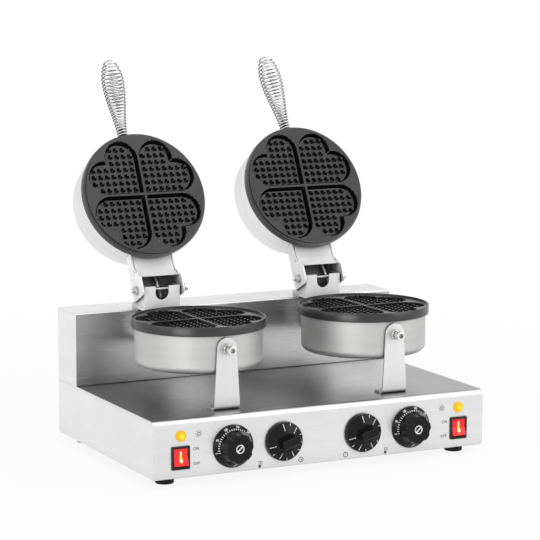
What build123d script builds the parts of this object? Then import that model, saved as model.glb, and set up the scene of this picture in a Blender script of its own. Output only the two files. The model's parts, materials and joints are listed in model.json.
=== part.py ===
from build123d import *
from math import atan2, cos, degrees, hypot, pi, radians, sin, sqrt, tan
import os

# Double waffle maker: two round irons with hinged lids on one sheet steel base.
# Millimetres. +X is the machine's right, +Y its back and +Z up. Z is 0 at the bottom of the feet.
# Lengths along Y are worked out from the middle of the base, and ORIGIN_BACK then moves the origin
# under the middle of the whole machine with both lids open.
ORIGIN_BACK = 39.0

# Base: a folded deck with two end trays, closed from below by a cover
BASE_WIDTH = 500.0
BASE_DEPTH = 333.0
BASE_HEIGHT = 77.0
SHEET = 1.2
EDGE_RADIUS = 7.0
FLANGE = 14.0
SHEET_FIT = 0.1
COVER_SHEET = 1.0
COVER_INSET = 1.5

# Riser: the box along the back that carries both hinges
RISER_DEPTH = 67.4
RISER_HEIGHT = 102.8
RISER_RADIUS = 2.0
SEAM_BEVEL = 0.8
WIRE_HOLE_RADIUS = 15.0

# Feet and the screws below
FOOT_RADIUS = 12.6
FOOT_HEIGHT = 11.0
FOOT_TAPER = 1.5
FOOT_INSET = 29.0
FOOT_SETBACK = 29.5
FOOT_SCREW_RADIUS = 2.5
FOOT_SCREW_HEAD = 4.5
FOOT_SCREW_RISE = 7.0
COVER_SCREW_INSET = 28.0
COVER_SCREW_SETBACK = 8.5
COVER_SCREW_RADIUS = 1.7
COVER_SCREW_HEAD = 3.5
COVER_SCREW_DOME = 1.0
HOLE_FIT = 0.05

# Irons: a cast plate on a round steel drum
IRON_X = 127.7
IRON_Y = -43.3
DRUM_RADIUS = 87.5
DRUM_SHEET = 1.2
DRUM_CORNER = 9.0
DRUM_LIFT = 47.5
LOWER_DRUM_HEIGHT = 52.0
LID_DRUM_HEIGHT = 54.5
PLATE_OVERHANG = 4.5
PLATE_BODY_FIT = 1.3
PLATE_BODY_DEPTH = 10.0
LOWER_RIM = 12.7
LID_RIM = 11.5
LIP_WIDTH = 2.0
LIP_HEIGHT = 2.5
LIP_FIT = 0.7
PARTING_GAP = 0.5

# Waffle pattern: four hearts with their points at the middle, and square studs in each
HEART_START = 1.6
LOBE_OVERLAP = 9.1334
HEART_MARGIN = 3.45
POCKET_DEPTH = 8.0
POCKET_SLOPE = 3.2
STUD_PITCH = 10.0
STUD_ROWS = 7
STUD_BASE = 6.4
STUD_TOP = 2.2
STUD_HEIGHT = 5.0
STUD_MARGIN = 4.4

# Heating rings
HEATER_RING_RADIUS = 58.0
HEATER_TUBE_RADIUS = 4.0
HEATER_GAP_ANGLE = 30.0
HEATER_LEG = 16.0
HEATER_CLEARANCE = 0.4

# Front bracket of each iron, with its screw and nuts
BRACKET_SHEET = 2.5
BRACKET_FOOT_WIDTH = 38.0
BRACKET_TOP_WIDTH = 28.0
BRACKET_FOOT_LENGTH = 22.5
BRACKET_BEND = 5.0
BRACKET_GAP = 0.7
BRACKET_TOP_CLEARANCE = 2.2
BRACKET_RELIEF = 2.0
SCREW_BELOW_RIM = 17.6
M8_RADIUS = 4.0
M8_HEAD_RADIUS = 6.5
M8_HEAD_LENGTH = 8.0
M8_SOCKET_FLATS = 6.0
M8_SOCKET_DEPTH = 4.5
M8_NUT_FLATS = 12.5
JAM_NUT_LENGTH = 5.0
SCREW_STAND_OFF = 9.5
SCREW_INNER_LENGTH = 13.0

# Rear bracket between the riser and the lower drum
REAR_BRACKET_HALF_WIDTH = 26.0
REAR_BRACKET_HEIGHT = 34.0
REAR_BRACKET_BELOW_RIM = 3.5
REAR_PAD_BELOW = 5.0

# Hinge
HINGE_RISE = 27.8
HINGE_OVERHANG = 6.6
OPEN_ANGLE = 116.2
YOKE_HALF_WIDTH = 27.3
YOKE_SHEET = 2.5
YOKE_PAD_HEIGHT = 6.0
YOKE_FRONT = 14.5
YOKE_PAD_LENGTH = 44.0
YOKE_PLATE_ABOVE = 6.2
YOKE_EAR_BEHIND = 14.5
YOKE_NOTCH_WIDTH = 20.4
YOKE_NOTCH_BELOW = 13.2
YOKE_SEAM = 0.6
STOP_GAP = 0.3
ARM_HALF_WIDTH = 32.0
ARM_SHEET = 2.0
ARM_ABOVE = 19.5
ARM_BELOW = 19.5
ARM_BEHIND = 12.0
ARM_NECK_Z = 6.0
ARM_STEP_FRONT = 25.0
ARM_EDGE_FRONT = 17.5
ARM_EDGE_BELOW = 12.6
ARM_HEEL_FRONT = 13.0
ARM_CORNER = 3.0
ARM_WEB_BEND_START = 40.5
ARM_SLIT = 0.8
AXLE_FIT = 0.08
M6_RADIUS = 3.0
M6_HEAD_RADIUS = 5.0
M6_HEAD_LENGTH = 6.0
M6_SOCKET_FLATS = 5.0
M6_SOCKET_DEPTH = 3.0
M6_NUT_FLATS = 10.0
LOCK_NUT_LENGTH = 5.0
THIN_NUT_LENGTH = 3.2
WASHER_RADIUS = 6.0
WASHER_SHEET = 1.6
WASHER_FIT = 0.1
LOCK_WASHER = 1.5
AXLE_TAIL = 2.6

# Cable conduit that joins the riser to the lid through the hinge
CONDUIT_RADIUS = 2.0
CONDUIT_HOLE = 2.9
CONDUIT_X = {"left": (8.0, 7.0, 0.0), "right": (21.5, 21.5, 10.0)}
CONDUIT_BEHIND_AXLE = 10.0
CONDUIT_BEND_BACK = 12.4
CONDUIT_BEND = 20.0
CONDUIT_TILT = 30.0
CONDUIT_BELOW = 32.0
CONDUIT_INTO_DRUM = 5.0

# Wound wire handle on a threaded stud
HANDLE_DEPTH = 32.0
HANDLE_SHIFT = {"left": -3.9, "right": 4.7}
HANDLE_TILT = {"left": 0.9, "right": -4.5}
HANDLE_LEAN = -0.6
WIRE = 2.5
HANDLE_TURNS = 25
HANDLE_LENGTH = 122.75
HANDLE_PITCH_GROWTH = 0.21
HANDLE_NECK_RADIUS = 6.4
HANDLE_BELLY_RADIUS = 15.4
HANDLE_TIP_RADIUS = 4.0
HANDLE_BELLY_AT = 90.0
HANDLE_TIP_POWER = 0.7
STUD_COLLAR_RADIUS = 8.0
STUD_COLLAR = 2.5
STUD_ROD_RADIUS = 4.6
STUD_ROD_LENGTH = 20.0
STUD_SHANK_RADIUS = 3.0
STUD_SHANK_LENGTH = 8.0

# Control panel, heights above the lower edge of the base
LAMP_INSET = 39.5
LAMP_Z = 55.5
LAMP_RADIUS = 7.5
LAMP_FLANGE = 1.6
LAMP_DOME_RADIUS = 5.4
LAMP_DOME_HEIGHT = 4.6
LAMP_SLEEVE_RADIUS = 5.6
LAMP_SLEEVE_LENGTH = 20.0
LAMP_NUT_RADIUS = 8.5
LAMP_NUT_LENGTH = 4.0
SWITCH_INSET = 39.0
SWITCH_Z = 26.4
SWITCH_WIDTH = 25.8
SWITCH_HEIGHT = 31.0
SWITCH_BEZEL = 2.0
SWITCH_BODY_WIDTH = 22.4
SWITCH_BODY_HEIGHT = 28.4
SWITCH_BODY_DEPTH = 24.0
ROCKER_WIDTH = 20.0
ROCKER_HALF_HEIGHT = 11.4
ROCKER_CREST = 3.0
ROCKER_VALLEY = 1.0
ROCKER_PIVOT = 3.0
ROCKER_TILT = 9.0
ROCKER_BACK_RADIUS = 8.0
ROCKER_FIT = 0.3
ROCKER_SWING = 1.3
THERMOSTAT_X = 135.0
THERMOSTAT_Z = 34.8
THERMOSTAT_SKIRT_RADIUS = 28.9
THERMOSTAT_RIM = 1.2
THERMOSTAT_CONE = 6.5
THERMOSTAT_CONE_TOP = 22.6
THERMOSTAT_GROOVE = 1.2
THERMOSTAT_KNOB_RADIUS = 22.4
THERMOSTAT_KNOB_TAPER = 2.9
THERMOSTAT_KNOB_LENGTH = 12.7
THERMOSTAT_FLUTES = 7
THERMOSTAT_FLUTE_RADIUS = 9.0
THERMOSTAT_FLUTE_DEPTH = 1.7
THERMOSTAT_BADGE_RADIUS = 6.3
THERMOSTAT_BADGE_DEPTH = 0.5
THERMOSTAT_BODY = 40.0
THERMOSTAT_BODY_HEIGHT = 34.0
THERMOSTAT_BODY_DEPTH = 30.0
TIMER_X = 60.0
TIMER_Z = 34.2
TIMER_SKIRT_RADIUS = 26.3
TIMER_RIM = 3.6
TIMER_CONE = 5.4
TIMER_HUB_RADIUS = 13.5
TIMER_GRIP_LENGTH = 26.0
TIMER_GRIP_WIDTH = 11.6
TIMER_GRIP_HEIGHT = 10.7
TIMER_GRIP_SHIFT = 2.6
TIMER_GRIP_ANGLE = 16.0
TIMER_BODY_RADIUS = 24.0
TIMER_BODY_DEPTH = 34.0
KNOB_GAP = 1.0
SPINDLE_RADIUS = 3.0
SPINDLE_DEPTH = 14.0
SPINDLE_FIT = 0.06
BUSH_RADIUS = 5.0

# Cable inlet in the back of the base, and the terminal block inside
GLAND_INSET = 70.0
GLAND_Z = 33.0
GLAND_BORE_RADIUS = 4.2
GLAND_THREAD_RADIUS = 8.0
GLAND_THREAD_LENGTH = 12.0
GLAND_HEX_FLATS = 22.0
GLAND_HEX_LENGTH = 5.0
GLAND_DOME_RADIUS = 9.5
GLAND_DOME_LENGTH = 14.0
LOCKNUT_LENGTH = 5.0
TERMINAL_LENGTH = 60.0
TERMINAL_WIDTH = 20.0
TERMINAL_HEIGHT = 16.0
TERMINAL_POLES = 6
TERMINAL_X = -100.0
TERMINAL_Y = 120.0

# Levels and places that follow from the sizes above
HOUSING_Z = FOOT_HEIGHT + COVER_SHEET
DECK_Z = HOUSING_Z + BASE_HEIGHT
RISER_TOP = DECK_Z + RISER_HEIGHT
HALF_WIDTH = BASE_WIDTH / 2
FRONT_Y = -BASE_DEPTH / 2
BACK_Y = BASE_DEPTH / 2
RISER_FRONT = BACK_Y - RISER_DEPTH
DRUM_Z = DECK_Z + DRUM_LIFT
RIM_Z = DRUM_Z + LOWER_DRUM_HEIGHT
LIP_Z = RIM_Z + LOWER_RIM
LID_RIM_Z = LIP_Z + PARTING_GAP
LID_DRUM_Z = LID_RIM_Z + LID_RIM
HINGE_Y = RISER_FRONT - HINGE_OVERHANG
HINGE_Z = RISER_TOP + HINGE_RISE
DRUM_FRONT = IRON_Y - DRUM_RADIUS
DRUM_BACK = IRON_Y + DRUM_RADIUS
BRACKET_FRONT = DRUM_FRONT - BRACKET_GAP - BRACKET_SHEET
FOOT_X = HALF_WIDTH - FOOT_INSET
FOOT_Y = BACK_Y - FOOT_SETBACK
COVER_SCREW_X = HALF_WIDTH - COVER_SCREW_INSET
LAMP_X = HALF_WIDTH - LAMP_INSET
SWITCH_X = HALF_WIDTH - SWITCH_INSET
GLAND_X = GLAND_INSET - HALF_WIDTH
PLATE_RADIUS = DRUM_RADIUS + PLATE_OVERHANG
PLATE_BODY_RADIUS = DRUM_RADIUS - DRUM_SHEET - PLATE_BODY_FIT
# The lobes' middles are at (LOBE_NEAR, LOBE_FAR) and the other way round, and both lobes overlap by
# LOBE_OVERLAP. The radius r solves hypot(LOBE_NEAR, LOBE_FAR) + r = HEART_REACH, where
# LOBE_NEAR = HEART_START + r and LOBE_FAR = LOBE_SHIFT + LOBE_GROWTH * r.
HEART_REACH = PLATE_RADIUS - LIP_WIDTH - HEART_MARGIN
LOBE_GROWTH = 1 + sqrt(2)
LOBE_SHIFT = HEART_START - LOBE_OVERLAP / sqrt(2)
LOBE_LINEAR = HEART_START + LOBE_GROWTH * LOBE_SHIFT + HEART_REACH
LOBE_CONSTANT = HEART_START**2 + LOBE_SHIFT**2 - HEART_REACH**2
LOBE_ROOT = sqrt(LOBE_LINEAR**2 - LOBE_GROWTH**2 * LOBE_CONSTANT)
LOBE_RADIUS = (LOBE_ROOT - LOBE_LINEAR) / LOBE_GROWTH**2
LOBE_NEAR = HEART_START + LOBE_RADIUS
LOBE_FAR = LOBE_SHIFT + LOBE_GROWTH * LOBE_RADIUS
SIDES = {"left": -1, "right": 1}


def block(x0, x1, y0, y1, z0, z1):
    """A block given by its low and high corners."""
    middle = Pos((x0 + x1) / 2, (y0 + y1) / 2, (z0 + z1) / 2)
    return middle * Box(x1 - x0, y1 - y0, z1 - z0)


def rounded_block(x0, x1, y0, y1, z0, z1, radius, corner):
    """A block with one edge along X rounded, the one nearest to corner, a pair of Y and Z."""
    body = block(x0, x1, y0, y1, z0, z1)
    if radius <= 0:
        return body
    edge = body.edges().filter_by(Axis.X).sort_by_distance((0, *corner))[0]
    return fillet(edge, radius)


def rod(plane, radius, low, high):
    """A cylinder on a plane's normal, from one height above the plane to another."""
    return extrude(plane.offset(low) * Circle(radius), high - low)


def cone(plane, low_radius, high_radius, low, high):
    """A cone without its tip along a plane's normal, between two heights over it."""
    ends = [plane.offset(low) * Circle(low_radius), plane.offset(high) * Circle(high_radius)]
    return loft(ends, ruled=True)


def hexagon_bar(plane, flats, low, high):
    """A hexagonal bar on a plane's normal."""
    return extrude(plane.offset(low) * RegularPolygon(flats / 2, 6, major_radius=False), high - low)


def across(x, y, z):
    """A plane at a point that faces +X."""
    return Plane(origin=(x, y, z), x_dir=(0, 1, 0), z_dir=(1, 0, 0))


def facing_front(x, y, z):
    """A plane at a point that faces the user, with its own X to the machine's right."""
    return Plane(origin=(x, y, z), x_dir=(1, 0, 0), z_dir=(0, -1, 0))


def facing_back(x, y, z):
    """A plane at a point that faces away from the user."""
    return Plane(origin=(x, y, z), x_dir=(-1, 0, 0), z_dir=(0, 1, 0))


def folded_wrap(y0, y1, z0, z1, radius):
    """A sheet folded round front, top and back, open at both ends, with flanges turned in below."""
    outer = rounded_block(-HALF_WIDTH, HALF_WIDTH, y0, y1, z0, z1, radius, (y0, z1))
    inner = rounded_block(-HALF_WIDTH, HALF_WIDTH, y0 + SHEET, y1 - SHEET, z0 + SHEET, z1 - SHEET,
                          radius - SHEET, (y0 + SHEET, z1 - SHEET))
    mouth = block(-HALF_WIDTH, HALF_WIDTH, y0 + FLANGE, y1 - FLANGE, z0, z0 + SHEET)
    wrap = outer - inner - mouth
    for side in SIDES.values():
        inside, outside = sorted((side * (HALF_WIDTH - FLANGE - SHEET_FIT), side * HALF_WIDTH))
        wrap -= block(inside, outside, y0 + SHEET, y1 - SHEET, z0, z0 + SHEET)
    return wrap


def end_tray(side, y0, y1, z0, z1, radius):
    """A flat end with flanges on all sides, pushed into the open end of a wrap."""
    gap = SHEET + SHEET_FIT
    x_in, x_out = side * (HALF_WIDTH - FLANGE), side * HALF_WIDTH
    x0, x1 = min(x_in, x_out), max(x_in, x_out)
    tray = rounded_block(x0, x1, y0 + gap, y1 - gap, z0, z1 - gap, radius - gap, (y0 + gap, z1 - gap))
    wall = gap + SHEET
    x0, x1 = sorted((x_in, x_out - side * SHEET))
    hollow = rounded_block(x0, x1, y0 + wall, y1 - wall, z0 + SHEET, z1 - wall, radius - wall,
                           (y0 + wall, z1 - wall))
    return tray - hollow


def panel_holes():
    """Everything that is cut out of the front panel."""
    holes = []
    for side in SIDES.values():
        depth = (-2 * SHEET, 2 * SHEET)
        lamp = facing_front(side * LAMP_X, FRONT_Y, HOUSING_Z + LAMP_Z)
        holes.append(rod(lamp, LAMP_SLEEVE_RADIUS + HOLE_FIT, *depth))
        holes.append(block(side * SWITCH_X - SWITCH_BODY_WIDTH / 2 - SHEET_FIT,
                           side * SWITCH_X + SWITCH_BODY_WIDTH / 2 + SHEET_FIT,
                           FRONT_Y - SHEET, FRONT_Y + 2 * SHEET,
                           HOUSING_Z + SWITCH_Z - SWITCH_BODY_HEIGHT / 2 - SHEET_FIT,
                           HOUSING_Z + SWITCH_Z + SWITCH_BODY_HEIGHT / 2 + SHEET_FIT))
        for x, z in ((THERMOSTAT_X, THERMOSTAT_Z), (TIMER_X, TIMER_Z)):
            plane = facing_front(side * x, FRONT_Y, HOUSING_Z + z)
            holes.append(rod(plane, BUSH_RADIUS + HOLE_FIT, *depth))
    return holes


def cover_screw_places():
    """Where the cover is screwed to the flanges of the deck."""
    reach = BASE_DEPTH / 2 - COVER_SCREW_SETBACK
    return [(x, y) for x in (-COVER_SCREW_X, 0, COVER_SCREW_X) for y in (-reach, reach)]


def foot_places():
    """The middles of the four feet."""
    return [(x, y) for x in (-FOOT_X, FOOT_X) for y in (-FOOT_Y, FOOT_Y)]


def upright(x, y):
    """A level plane at the floor, under a point."""
    return Plane(origin=(x, y, 0))


def base_shell():
    """The deck with its rounded front edge, panel cut-outs and wire holes."""
    shell = folded_wrap(FRONT_Y, BACK_Y, HOUSING_Z, DECK_Z, EDGE_RADIUS)
    gland = facing_back(GLAND_X, BACK_Y, HOUSING_Z + GLAND_Z)
    cuts = panel_holes() + [rod(gland, GLAND_THREAD_RADIUS + HOLE_FIT, -2 * SHEET, SHEET)]
    for side in SIDES.values():
        wires = upright(side * IRON_X, (RISER_FRONT + BACK_Y) / 2)
        cuts.append(rod(wires, WIRE_HOLE_RADIUS, DECK_Z - 2 * SHEET, DECK_Z + SHEET))
    for x, y in cover_screw_places():
        cuts.append(rod(upright(x, y), COVER_SCREW_RADIUS + HOLE_FIT, HOUSING_Z - 1, HOUSING_Z + 2 * SHEET))
    return shell - cuts


def riser_shell():
    """The riser's folded front, top and back, with a bevel that leaves a seam on the deck."""
    shell = folded_wrap(RISER_FRONT, BACK_Y, DECK_Z, RISER_TOP, RISER_RADIUS)
    edges = shell.edges().filter_by(Axis.X).filter_by(lambda e: abs(e.center().Z - DECK_Z) < 0.01)
    outer = [e for e in edges if min(abs(e.center().Y - RISER_FRONT), abs(e.center().Y - BACK_Y)) < 0.01]
    shell = chamfer(outer, SEAM_BEVEL)
    return shell - [conduit_passage(name) for name in SIDES]


def bottom_cover():
    """The flat cover under the base, with holes for its screws and for the feet."""
    x, y = HALF_WIDTH - COVER_INSET, BASE_DEPTH / 2 - COVER_INSET
    cover = block(-x, x, -y, y, FOOT_HEIGHT, HOUSING_Z)
    holes = [rod(upright(*p), COVER_SCREW_RADIUS + HOLE_FIT, 0, HOUSING_Z + 1) for p in cover_screw_places()]
    holes += [rod(upright(*p), FOOT_SCREW_RADIUS + HOLE_FIT, 0, HOUSING_Z + 1) for p in foot_places()]
    return cover - holes


def cover_screw(x, y):
    """A dome head screw that comes up through the cover and the flange."""
    plane = upright(x, y)
    head = rod(plane, COVER_SCREW_HEAD, FOOT_HEIGHT - COVER_SCREW_DOME, FOOT_HEIGHT)
    head = fillet(head.edges().group_by(Axis.Z)[0], COVER_SCREW_DOME * 0.7)
    return head + rod(plane, COVER_SCREW_RADIUS, FOOT_HEIGHT, HOUSING_Z + SHEET + 4)


def foot(x, y):
    """A rubber foot with a rounded lower edge and a recess for its screw."""
    plane = upright(x, y)
    body = rod(plane, FOOT_RADIUS, 0, FOOT_HEIGHT)
    body = fillet(body.edges().group_by(Axis.Z)[0], FOOT_TAPER)
    recess = rod(plane, FOOT_SCREW_HEAD + 1, 0, FOOT_HEIGHT / 2)
    return body - recess - rod(plane, FOOT_SCREW_RADIUS + HOLE_FIT, 0, FOOT_HEIGHT)


def foot_screw(x, y):
    """The screw that holds a foot to the cover."""
    plane = upright(x, y)
    seat = FOOT_HEIGHT / 2
    head = rod(plane, FOOT_SCREW_HEAD, seat - FOOT_SCREW_RADIUS, seat)
    return head + rod(plane, FOOT_SCREW_RADIUS, seat, HOUSING_Z + FOOT_SCREW_RISE)


def drum(height):
    """An open steel cup standing on its closed end, with a rounded lower corner."""
    outer = Pos(0, 0, height / 2) * Cylinder(DRUM_RADIUS, height)
    outer = fillet(outer.edges().group_by(Axis.Z)[0], DRUM_CORNER)
    depth = height - DRUM_SHEET
    inner = Pos(0, 0, DRUM_SHEET + depth / 2) * Cylinder(DRUM_RADIUS - DRUM_SHEET, depth)
    inner = fillet(inner.edges().group_by(Axis.Z)[0], DRUM_CORNER - DRUM_SHEET)
    return outer - inner


def heart_face(inset):
    """One heart in the first quarter, its point at the middle, drawn in by inset."""
    start = HEART_START + inset
    radius = LOBE_RADIUS - inset
    half = (LOBE_FAR - LOBE_NEAR) / 2
    cleft = (LOBE_NEAR + LOBE_FAR) / 2 + sqrt(radius**2 / 2 - half**2)
    high = (LOBE_NEAR - radius * cos(radians(60)), LOBE_FAR + radius * sin(radians(60)))
    upper = ThreePointArc((start, LOBE_FAR), high, (cleft, cleft))
    lower = ThreePointArc((cleft, cleft), high[::-1], (LOBE_FAR, start))
    sides = Polyline((LOBE_FAR, start), (start, start), (start, LOBE_FAR))
    return make_face(upper + lower + sides)


def stud_places():
    """Where the studs of one heart stand: a square grid, kept inside the heart's outline."""
    reach = LOBE_RADIUS - STUD_MARGIN
    cleft = (LOBE_NEAR + LOBE_FAR) / 2 + sqrt(LOBE_RADIUS**2 / 2 - ((LOBE_FAR - LOBE_NEAR) / 2) ** 2)
    steps = [STUD_PITCH * (i + 1) for i in range(STUD_ROWS)]
    lobes = ((LOBE_NEAR, LOBE_FAR), (LOBE_FAR, LOBE_NEAR))
    places = []
    for x in steps:
        for y in steps:
            in_lobe = any(hypot(x - a, y - b) <= reach for a, b in lobes)
            if in_lobe or max(x, y) <= cleft - STUD_MARGIN:
                places.append((x, y))
    return places


def stud(x, y, floor):
    """One stud: a square pyramid with a flat top, standing on the pocket's floor."""
    foot_square = Pos(x, y, floor) * Rectangle(STUD_BASE, STUD_BASE)
    top_square = Pos(x, y, floor + STUD_HEIGHT) * Rectangle(STUD_TOP, STUD_TOP)
    return loft([foot_square, top_square], ruled=True)


def waffle_pockets():
    """The four sunk hearts, less their studs, below a cooking face at Z 0."""
    top = heart_face(0)
    bottom = Pos(0, 0, -POCKET_DEPTH) * heart_face(POCKET_SLOPE)
    pocket = loft([bottom, top], ruled=True)
    pocket -= [stud(x, y, -POCKET_DEPTH) for x, y in stud_places()]
    return [Rot(0, 0, 90 * quarter) * pocket for quarter in range(4)]


def lower_plate(pockets):
    """The lower casting: its cooking face lies inside a raised lip. Z 0 is the top of the lip."""
    rim = rod(Plane.XY, PLATE_RADIUS, -LOWER_RIM, 0)
    body = rod(Plane.XY, PLATE_BODY_RADIUS, -LOWER_RIM - PLATE_BODY_DEPTH, -LOWER_RIM)
    recess = rod(Plane.XY, PLATE_RADIUS - LIP_WIDTH, -LIP_HEIGHT, 0)
    return rim + body - recess - [Pos(0, 0, -LIP_HEIGHT) * pocket for pocket in pockets]


def lid_plate(pockets):
    """The lid's casting, face up: its cooking face stands proud and fits inside the lower lip."""
    rim = rod(Plane.XY, PLATE_RADIUS, -LID_RIM, 0)
    body = rod(Plane.XY, PLATE_BODY_RADIUS, -LID_RIM - PLATE_BODY_DEPTH, -LID_RIM)
    boss = rod(Plane.XY, PLATE_RADIUS - LIP_WIDTH - LIP_FIT, 0, LIP_HEIGHT)
    return rim + body + boss - [Pos(0, 0, LIP_HEIGHT) * pocket for pocket in pockets]


def heater():
    """A tubular heating ring with a gap at its back and two legs that hang from its ends."""
    profile = Plane.XZ * (Pos(HEATER_RING_RADIUS, 0) * Circle(HEATER_TUBE_RADIUS))
    ring = revolve(profile, Axis.Z, 360 - HEATER_GAP_ANGLE)
    ring = Rot(0, 0, 90 + HEATER_GAP_ANGLE / 2) * ring
    for angle in (90 - HEATER_GAP_ANGLE / 2, 90 + HEATER_GAP_ANGLE / 2):
        end = (HEATER_RING_RADIUS * cos(radians(angle)), HEATER_RING_RADIUS * sin(radians(angle)))
        leg = rod(Plane(origin=(*end, 0)), HEATER_TUBE_RADIUS, -HEATER_LEG, 0)
        ring += Pos(*end, 0) * Sphere(HEATER_TUBE_RADIUS) + leg
    return ring


def front_bracket():
    """The folded strip that holds the drum's front: a tapered upright and a foot that points back."""
    half = BRACKET_FOOT_WIDTH / 2
    top = RIM_Z - BRACKET_TOP_CLEARANCE
    foot_end = BRACKET_FRONT + BRACKET_FOOT_LENGTH
    inner = BRACKET_FRONT + BRACKET_SHEET
    outside = rounded_block(-half, half, BRACKET_FRONT, foot_end, DECK_Z, top, BRACKET_BEND,
                            (BRACKET_FRONT, DECK_Z))
    inside = rounded_block(-half, half, inner, foot_end, DECK_Z + BRACKET_SHEET, top,
                           BRACKET_BEND - BRACKET_SHEET, (inner, DECK_Z + BRACKET_SHEET))
    radius = BRACKET_TOP_WIDTH / 2
    shoulder = top - radius
    outline = Polyline((-half, DECK_Z), (half, DECK_Z), (radius, shoulder))
    outline += ThreePointArc((radius, shoulder), (0, top), (-radius, shoulder))
    outline += Line((-radius, shoulder), (-half, DECK_Z))
    front = Plane(origin=(0, foot_end, 0), x_dir=(1, 0, 0), z_dir=(0, -1, 0))
    taper = extrude(front * make_face(outline), BRACKET_FOOT_LENGTH)
    bracket = (outside - inside) & taper
    for side in SIDES.values():
        relief = upright(side * half, inner + BRACKET_BEND)
        bracket -= rod(relief, BRACKET_RELIEF, DECK_Z, DECK_Z + BRACKET_BEND)
    screw = facing_front(0, inner, RIM_Z - SCREW_BELOW_RIM)
    return bracket - rod(screw, M8_RADIUS + HOLE_FIT, -1, 2 * BRACKET_SHEET)


def bracket_screw(x):
    """The socket head screw that holds a bracket to its drum, standing off on a jam nut."""
    plane = facing_front(x, BRACKET_FRONT, RIM_Z - SCREW_BELOW_RIM)
    head = rod(plane, M8_HEAD_RADIUS, SCREW_STAND_OFF, SCREW_STAND_OFF + M8_HEAD_LENGTH)
    head = chamfer(head.edges().group_by(Axis.Y)[0], M8_RADIUS / 8)
    tip = SCREW_STAND_OFF + M8_HEAD_LENGTH
    head -= hexagon_bar(plane, M8_SOCKET_FLATS, tip - M8_SOCKET_DEPTH, tip)
    return head + rod(plane, M8_RADIUS, -SCREW_INNER_LENGTH, SCREW_STAND_OFF)


def bracket_nuts(x):
    """The jam nut in front of the bracket and the nut inside the drum."""
    plane = facing_front(x, BRACKET_FRONT, RIM_Z - SCREW_BELOW_RIM)
    bore = rod(plane, M8_RADIUS + HOLE_FIT, -SCREW_INNER_LENGTH, SCREW_STAND_OFF)
    outer = hexagon_bar(plane, M8_NUT_FLATS, 0, JAM_NUT_LENGTH) - bore
    wall = BRACKET_SHEET + BRACKET_GAP + DRUM_SHEET
    sag = DRUM_RADIUS - sqrt(DRUM_RADIUS**2 - (M8_NUT_FLATS / 2) ** 2)
    seat = -wall - 2 * sag
    inner = hexagon_bar(plane, M8_NUT_FLATS, seat - JAM_NUT_LENGTH, seat) - bore
    return [outer, inner]


def rear_bracket():
    """The welded channel that carries the drum's back from the riser and hides its wires."""
    half = REAR_BRACKET_HALF_WIDTH
    top = RIM_Z - REAR_BRACKET_BELOW_RIM
    low = top - REAR_BRACKET_HEIGHT
    channel = block(-half, half, IRON_Y, RISER_FRONT, low, top)
    channel -= block(-half + BRACKET_SHEET, half - BRACKET_SHEET, IRON_Y, RISER_FRONT, low,
                     top - BRACKET_SHEET)
    channel -= rod(upright(0, IRON_Y), DRUM_RADIUS, DECK_Z, RISER_TOP)
    pad = block(-half, half, RISER_FRONT - BRACKET_SHEET, RISER_FRONT, low - REAR_PAD_BELOW, RIM_Z)
    window = block(-half + BRACKET_SHEET, half - BRACKET_SHEET, RISER_FRONT - 2 * BRACKET_SHEET,
                   RISER_FRONT, low, top - BRACKET_SHEET)
    return channel + pad - window


def drum_cuts_lower(side):
    """The holes in a lower drum: its front screw."""
    plane = facing_front(side * IRON_X, DRUM_FRONT, RIM_Z - SCREW_BELOW_RIM)
    return rod(plane, M8_RADIUS + HOLE_FIT, -2 * DRUM_CORNER, DRUM_SHEET)


def hinge_yoke():
    """The bracket on the riser: a raised pad, a notched front plate and two ears for the axle."""
    half, t = YOKE_HALF_WIDTH, YOKE_SHEET
    front = HINGE_Y - YOKE_FRONT
    pad_top = RISER_TOP + YOKE_PAD_HEIGHT
    yoke = block(-half, half, front, front + YOKE_PAD_LENGTH, RISER_TOP, pad_top)
    yoke -= block(-half + t, half - t, front + t, front + YOKE_PAD_LENGTH - t, RISER_TOP, pad_top - t)
    above = HINGE_Z + YOKE_PLATE_ABOVE
    ears = block(-half, half, front, HINGE_Y + YOKE_EAR_BEHIND, pad_top, above) - stop_wedge(half)
    ears -= block(-half + t, half - t, front + t, HINGE_Y + 2 * YOKE_EAR_BEHIND, pad_top, above)
    yoke += ears
    notch_low = HINGE_Z - YOKE_NOTCH_BELOW + YOKE_NOTCH_WIDTH / 2
    notch = facing_front(0, front, notch_low)
    yoke -= rod(notch, YOKE_NOTCH_WIDTH / 2, -t, t)
    yoke -= block(-YOKE_NOTCH_WIDTH / 2, YOKE_NOTCH_WIDTH / 2, front - t, front + t, notch_low, above + t)
    yoke -= rod(across(-half, HINGE_Y, HINGE_Z), M6_RADIUS + HOLE_FIT, -1, 2 * half + 1)
    for side in SIDES.values():
        x0, x1 = sorted((side * half, side * (half - YOKE_SEAM)))
        yoke -= block(x0, x1, front + t, front + YOKE_PAD_LENGTH, pad_top - YOKE_SEAM, pad_top)
    return yoke


def stop_wedge(half):
    """Everything behind the slanted rear edge of the ears, where the open arm comes to rest."""
    reach = HINGE_RISE * 3
    inner_face = ARM_ABOVE - ARM_SHEET - STOP_GAP
    wedge = block(-half - 1, half + 1, HINGE_Y - reach, HINGE_Y + reach,
                  HINGE_Z + inner_face, HINGE_Z + inner_face + reach)
    return open_pose(wedge)


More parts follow.
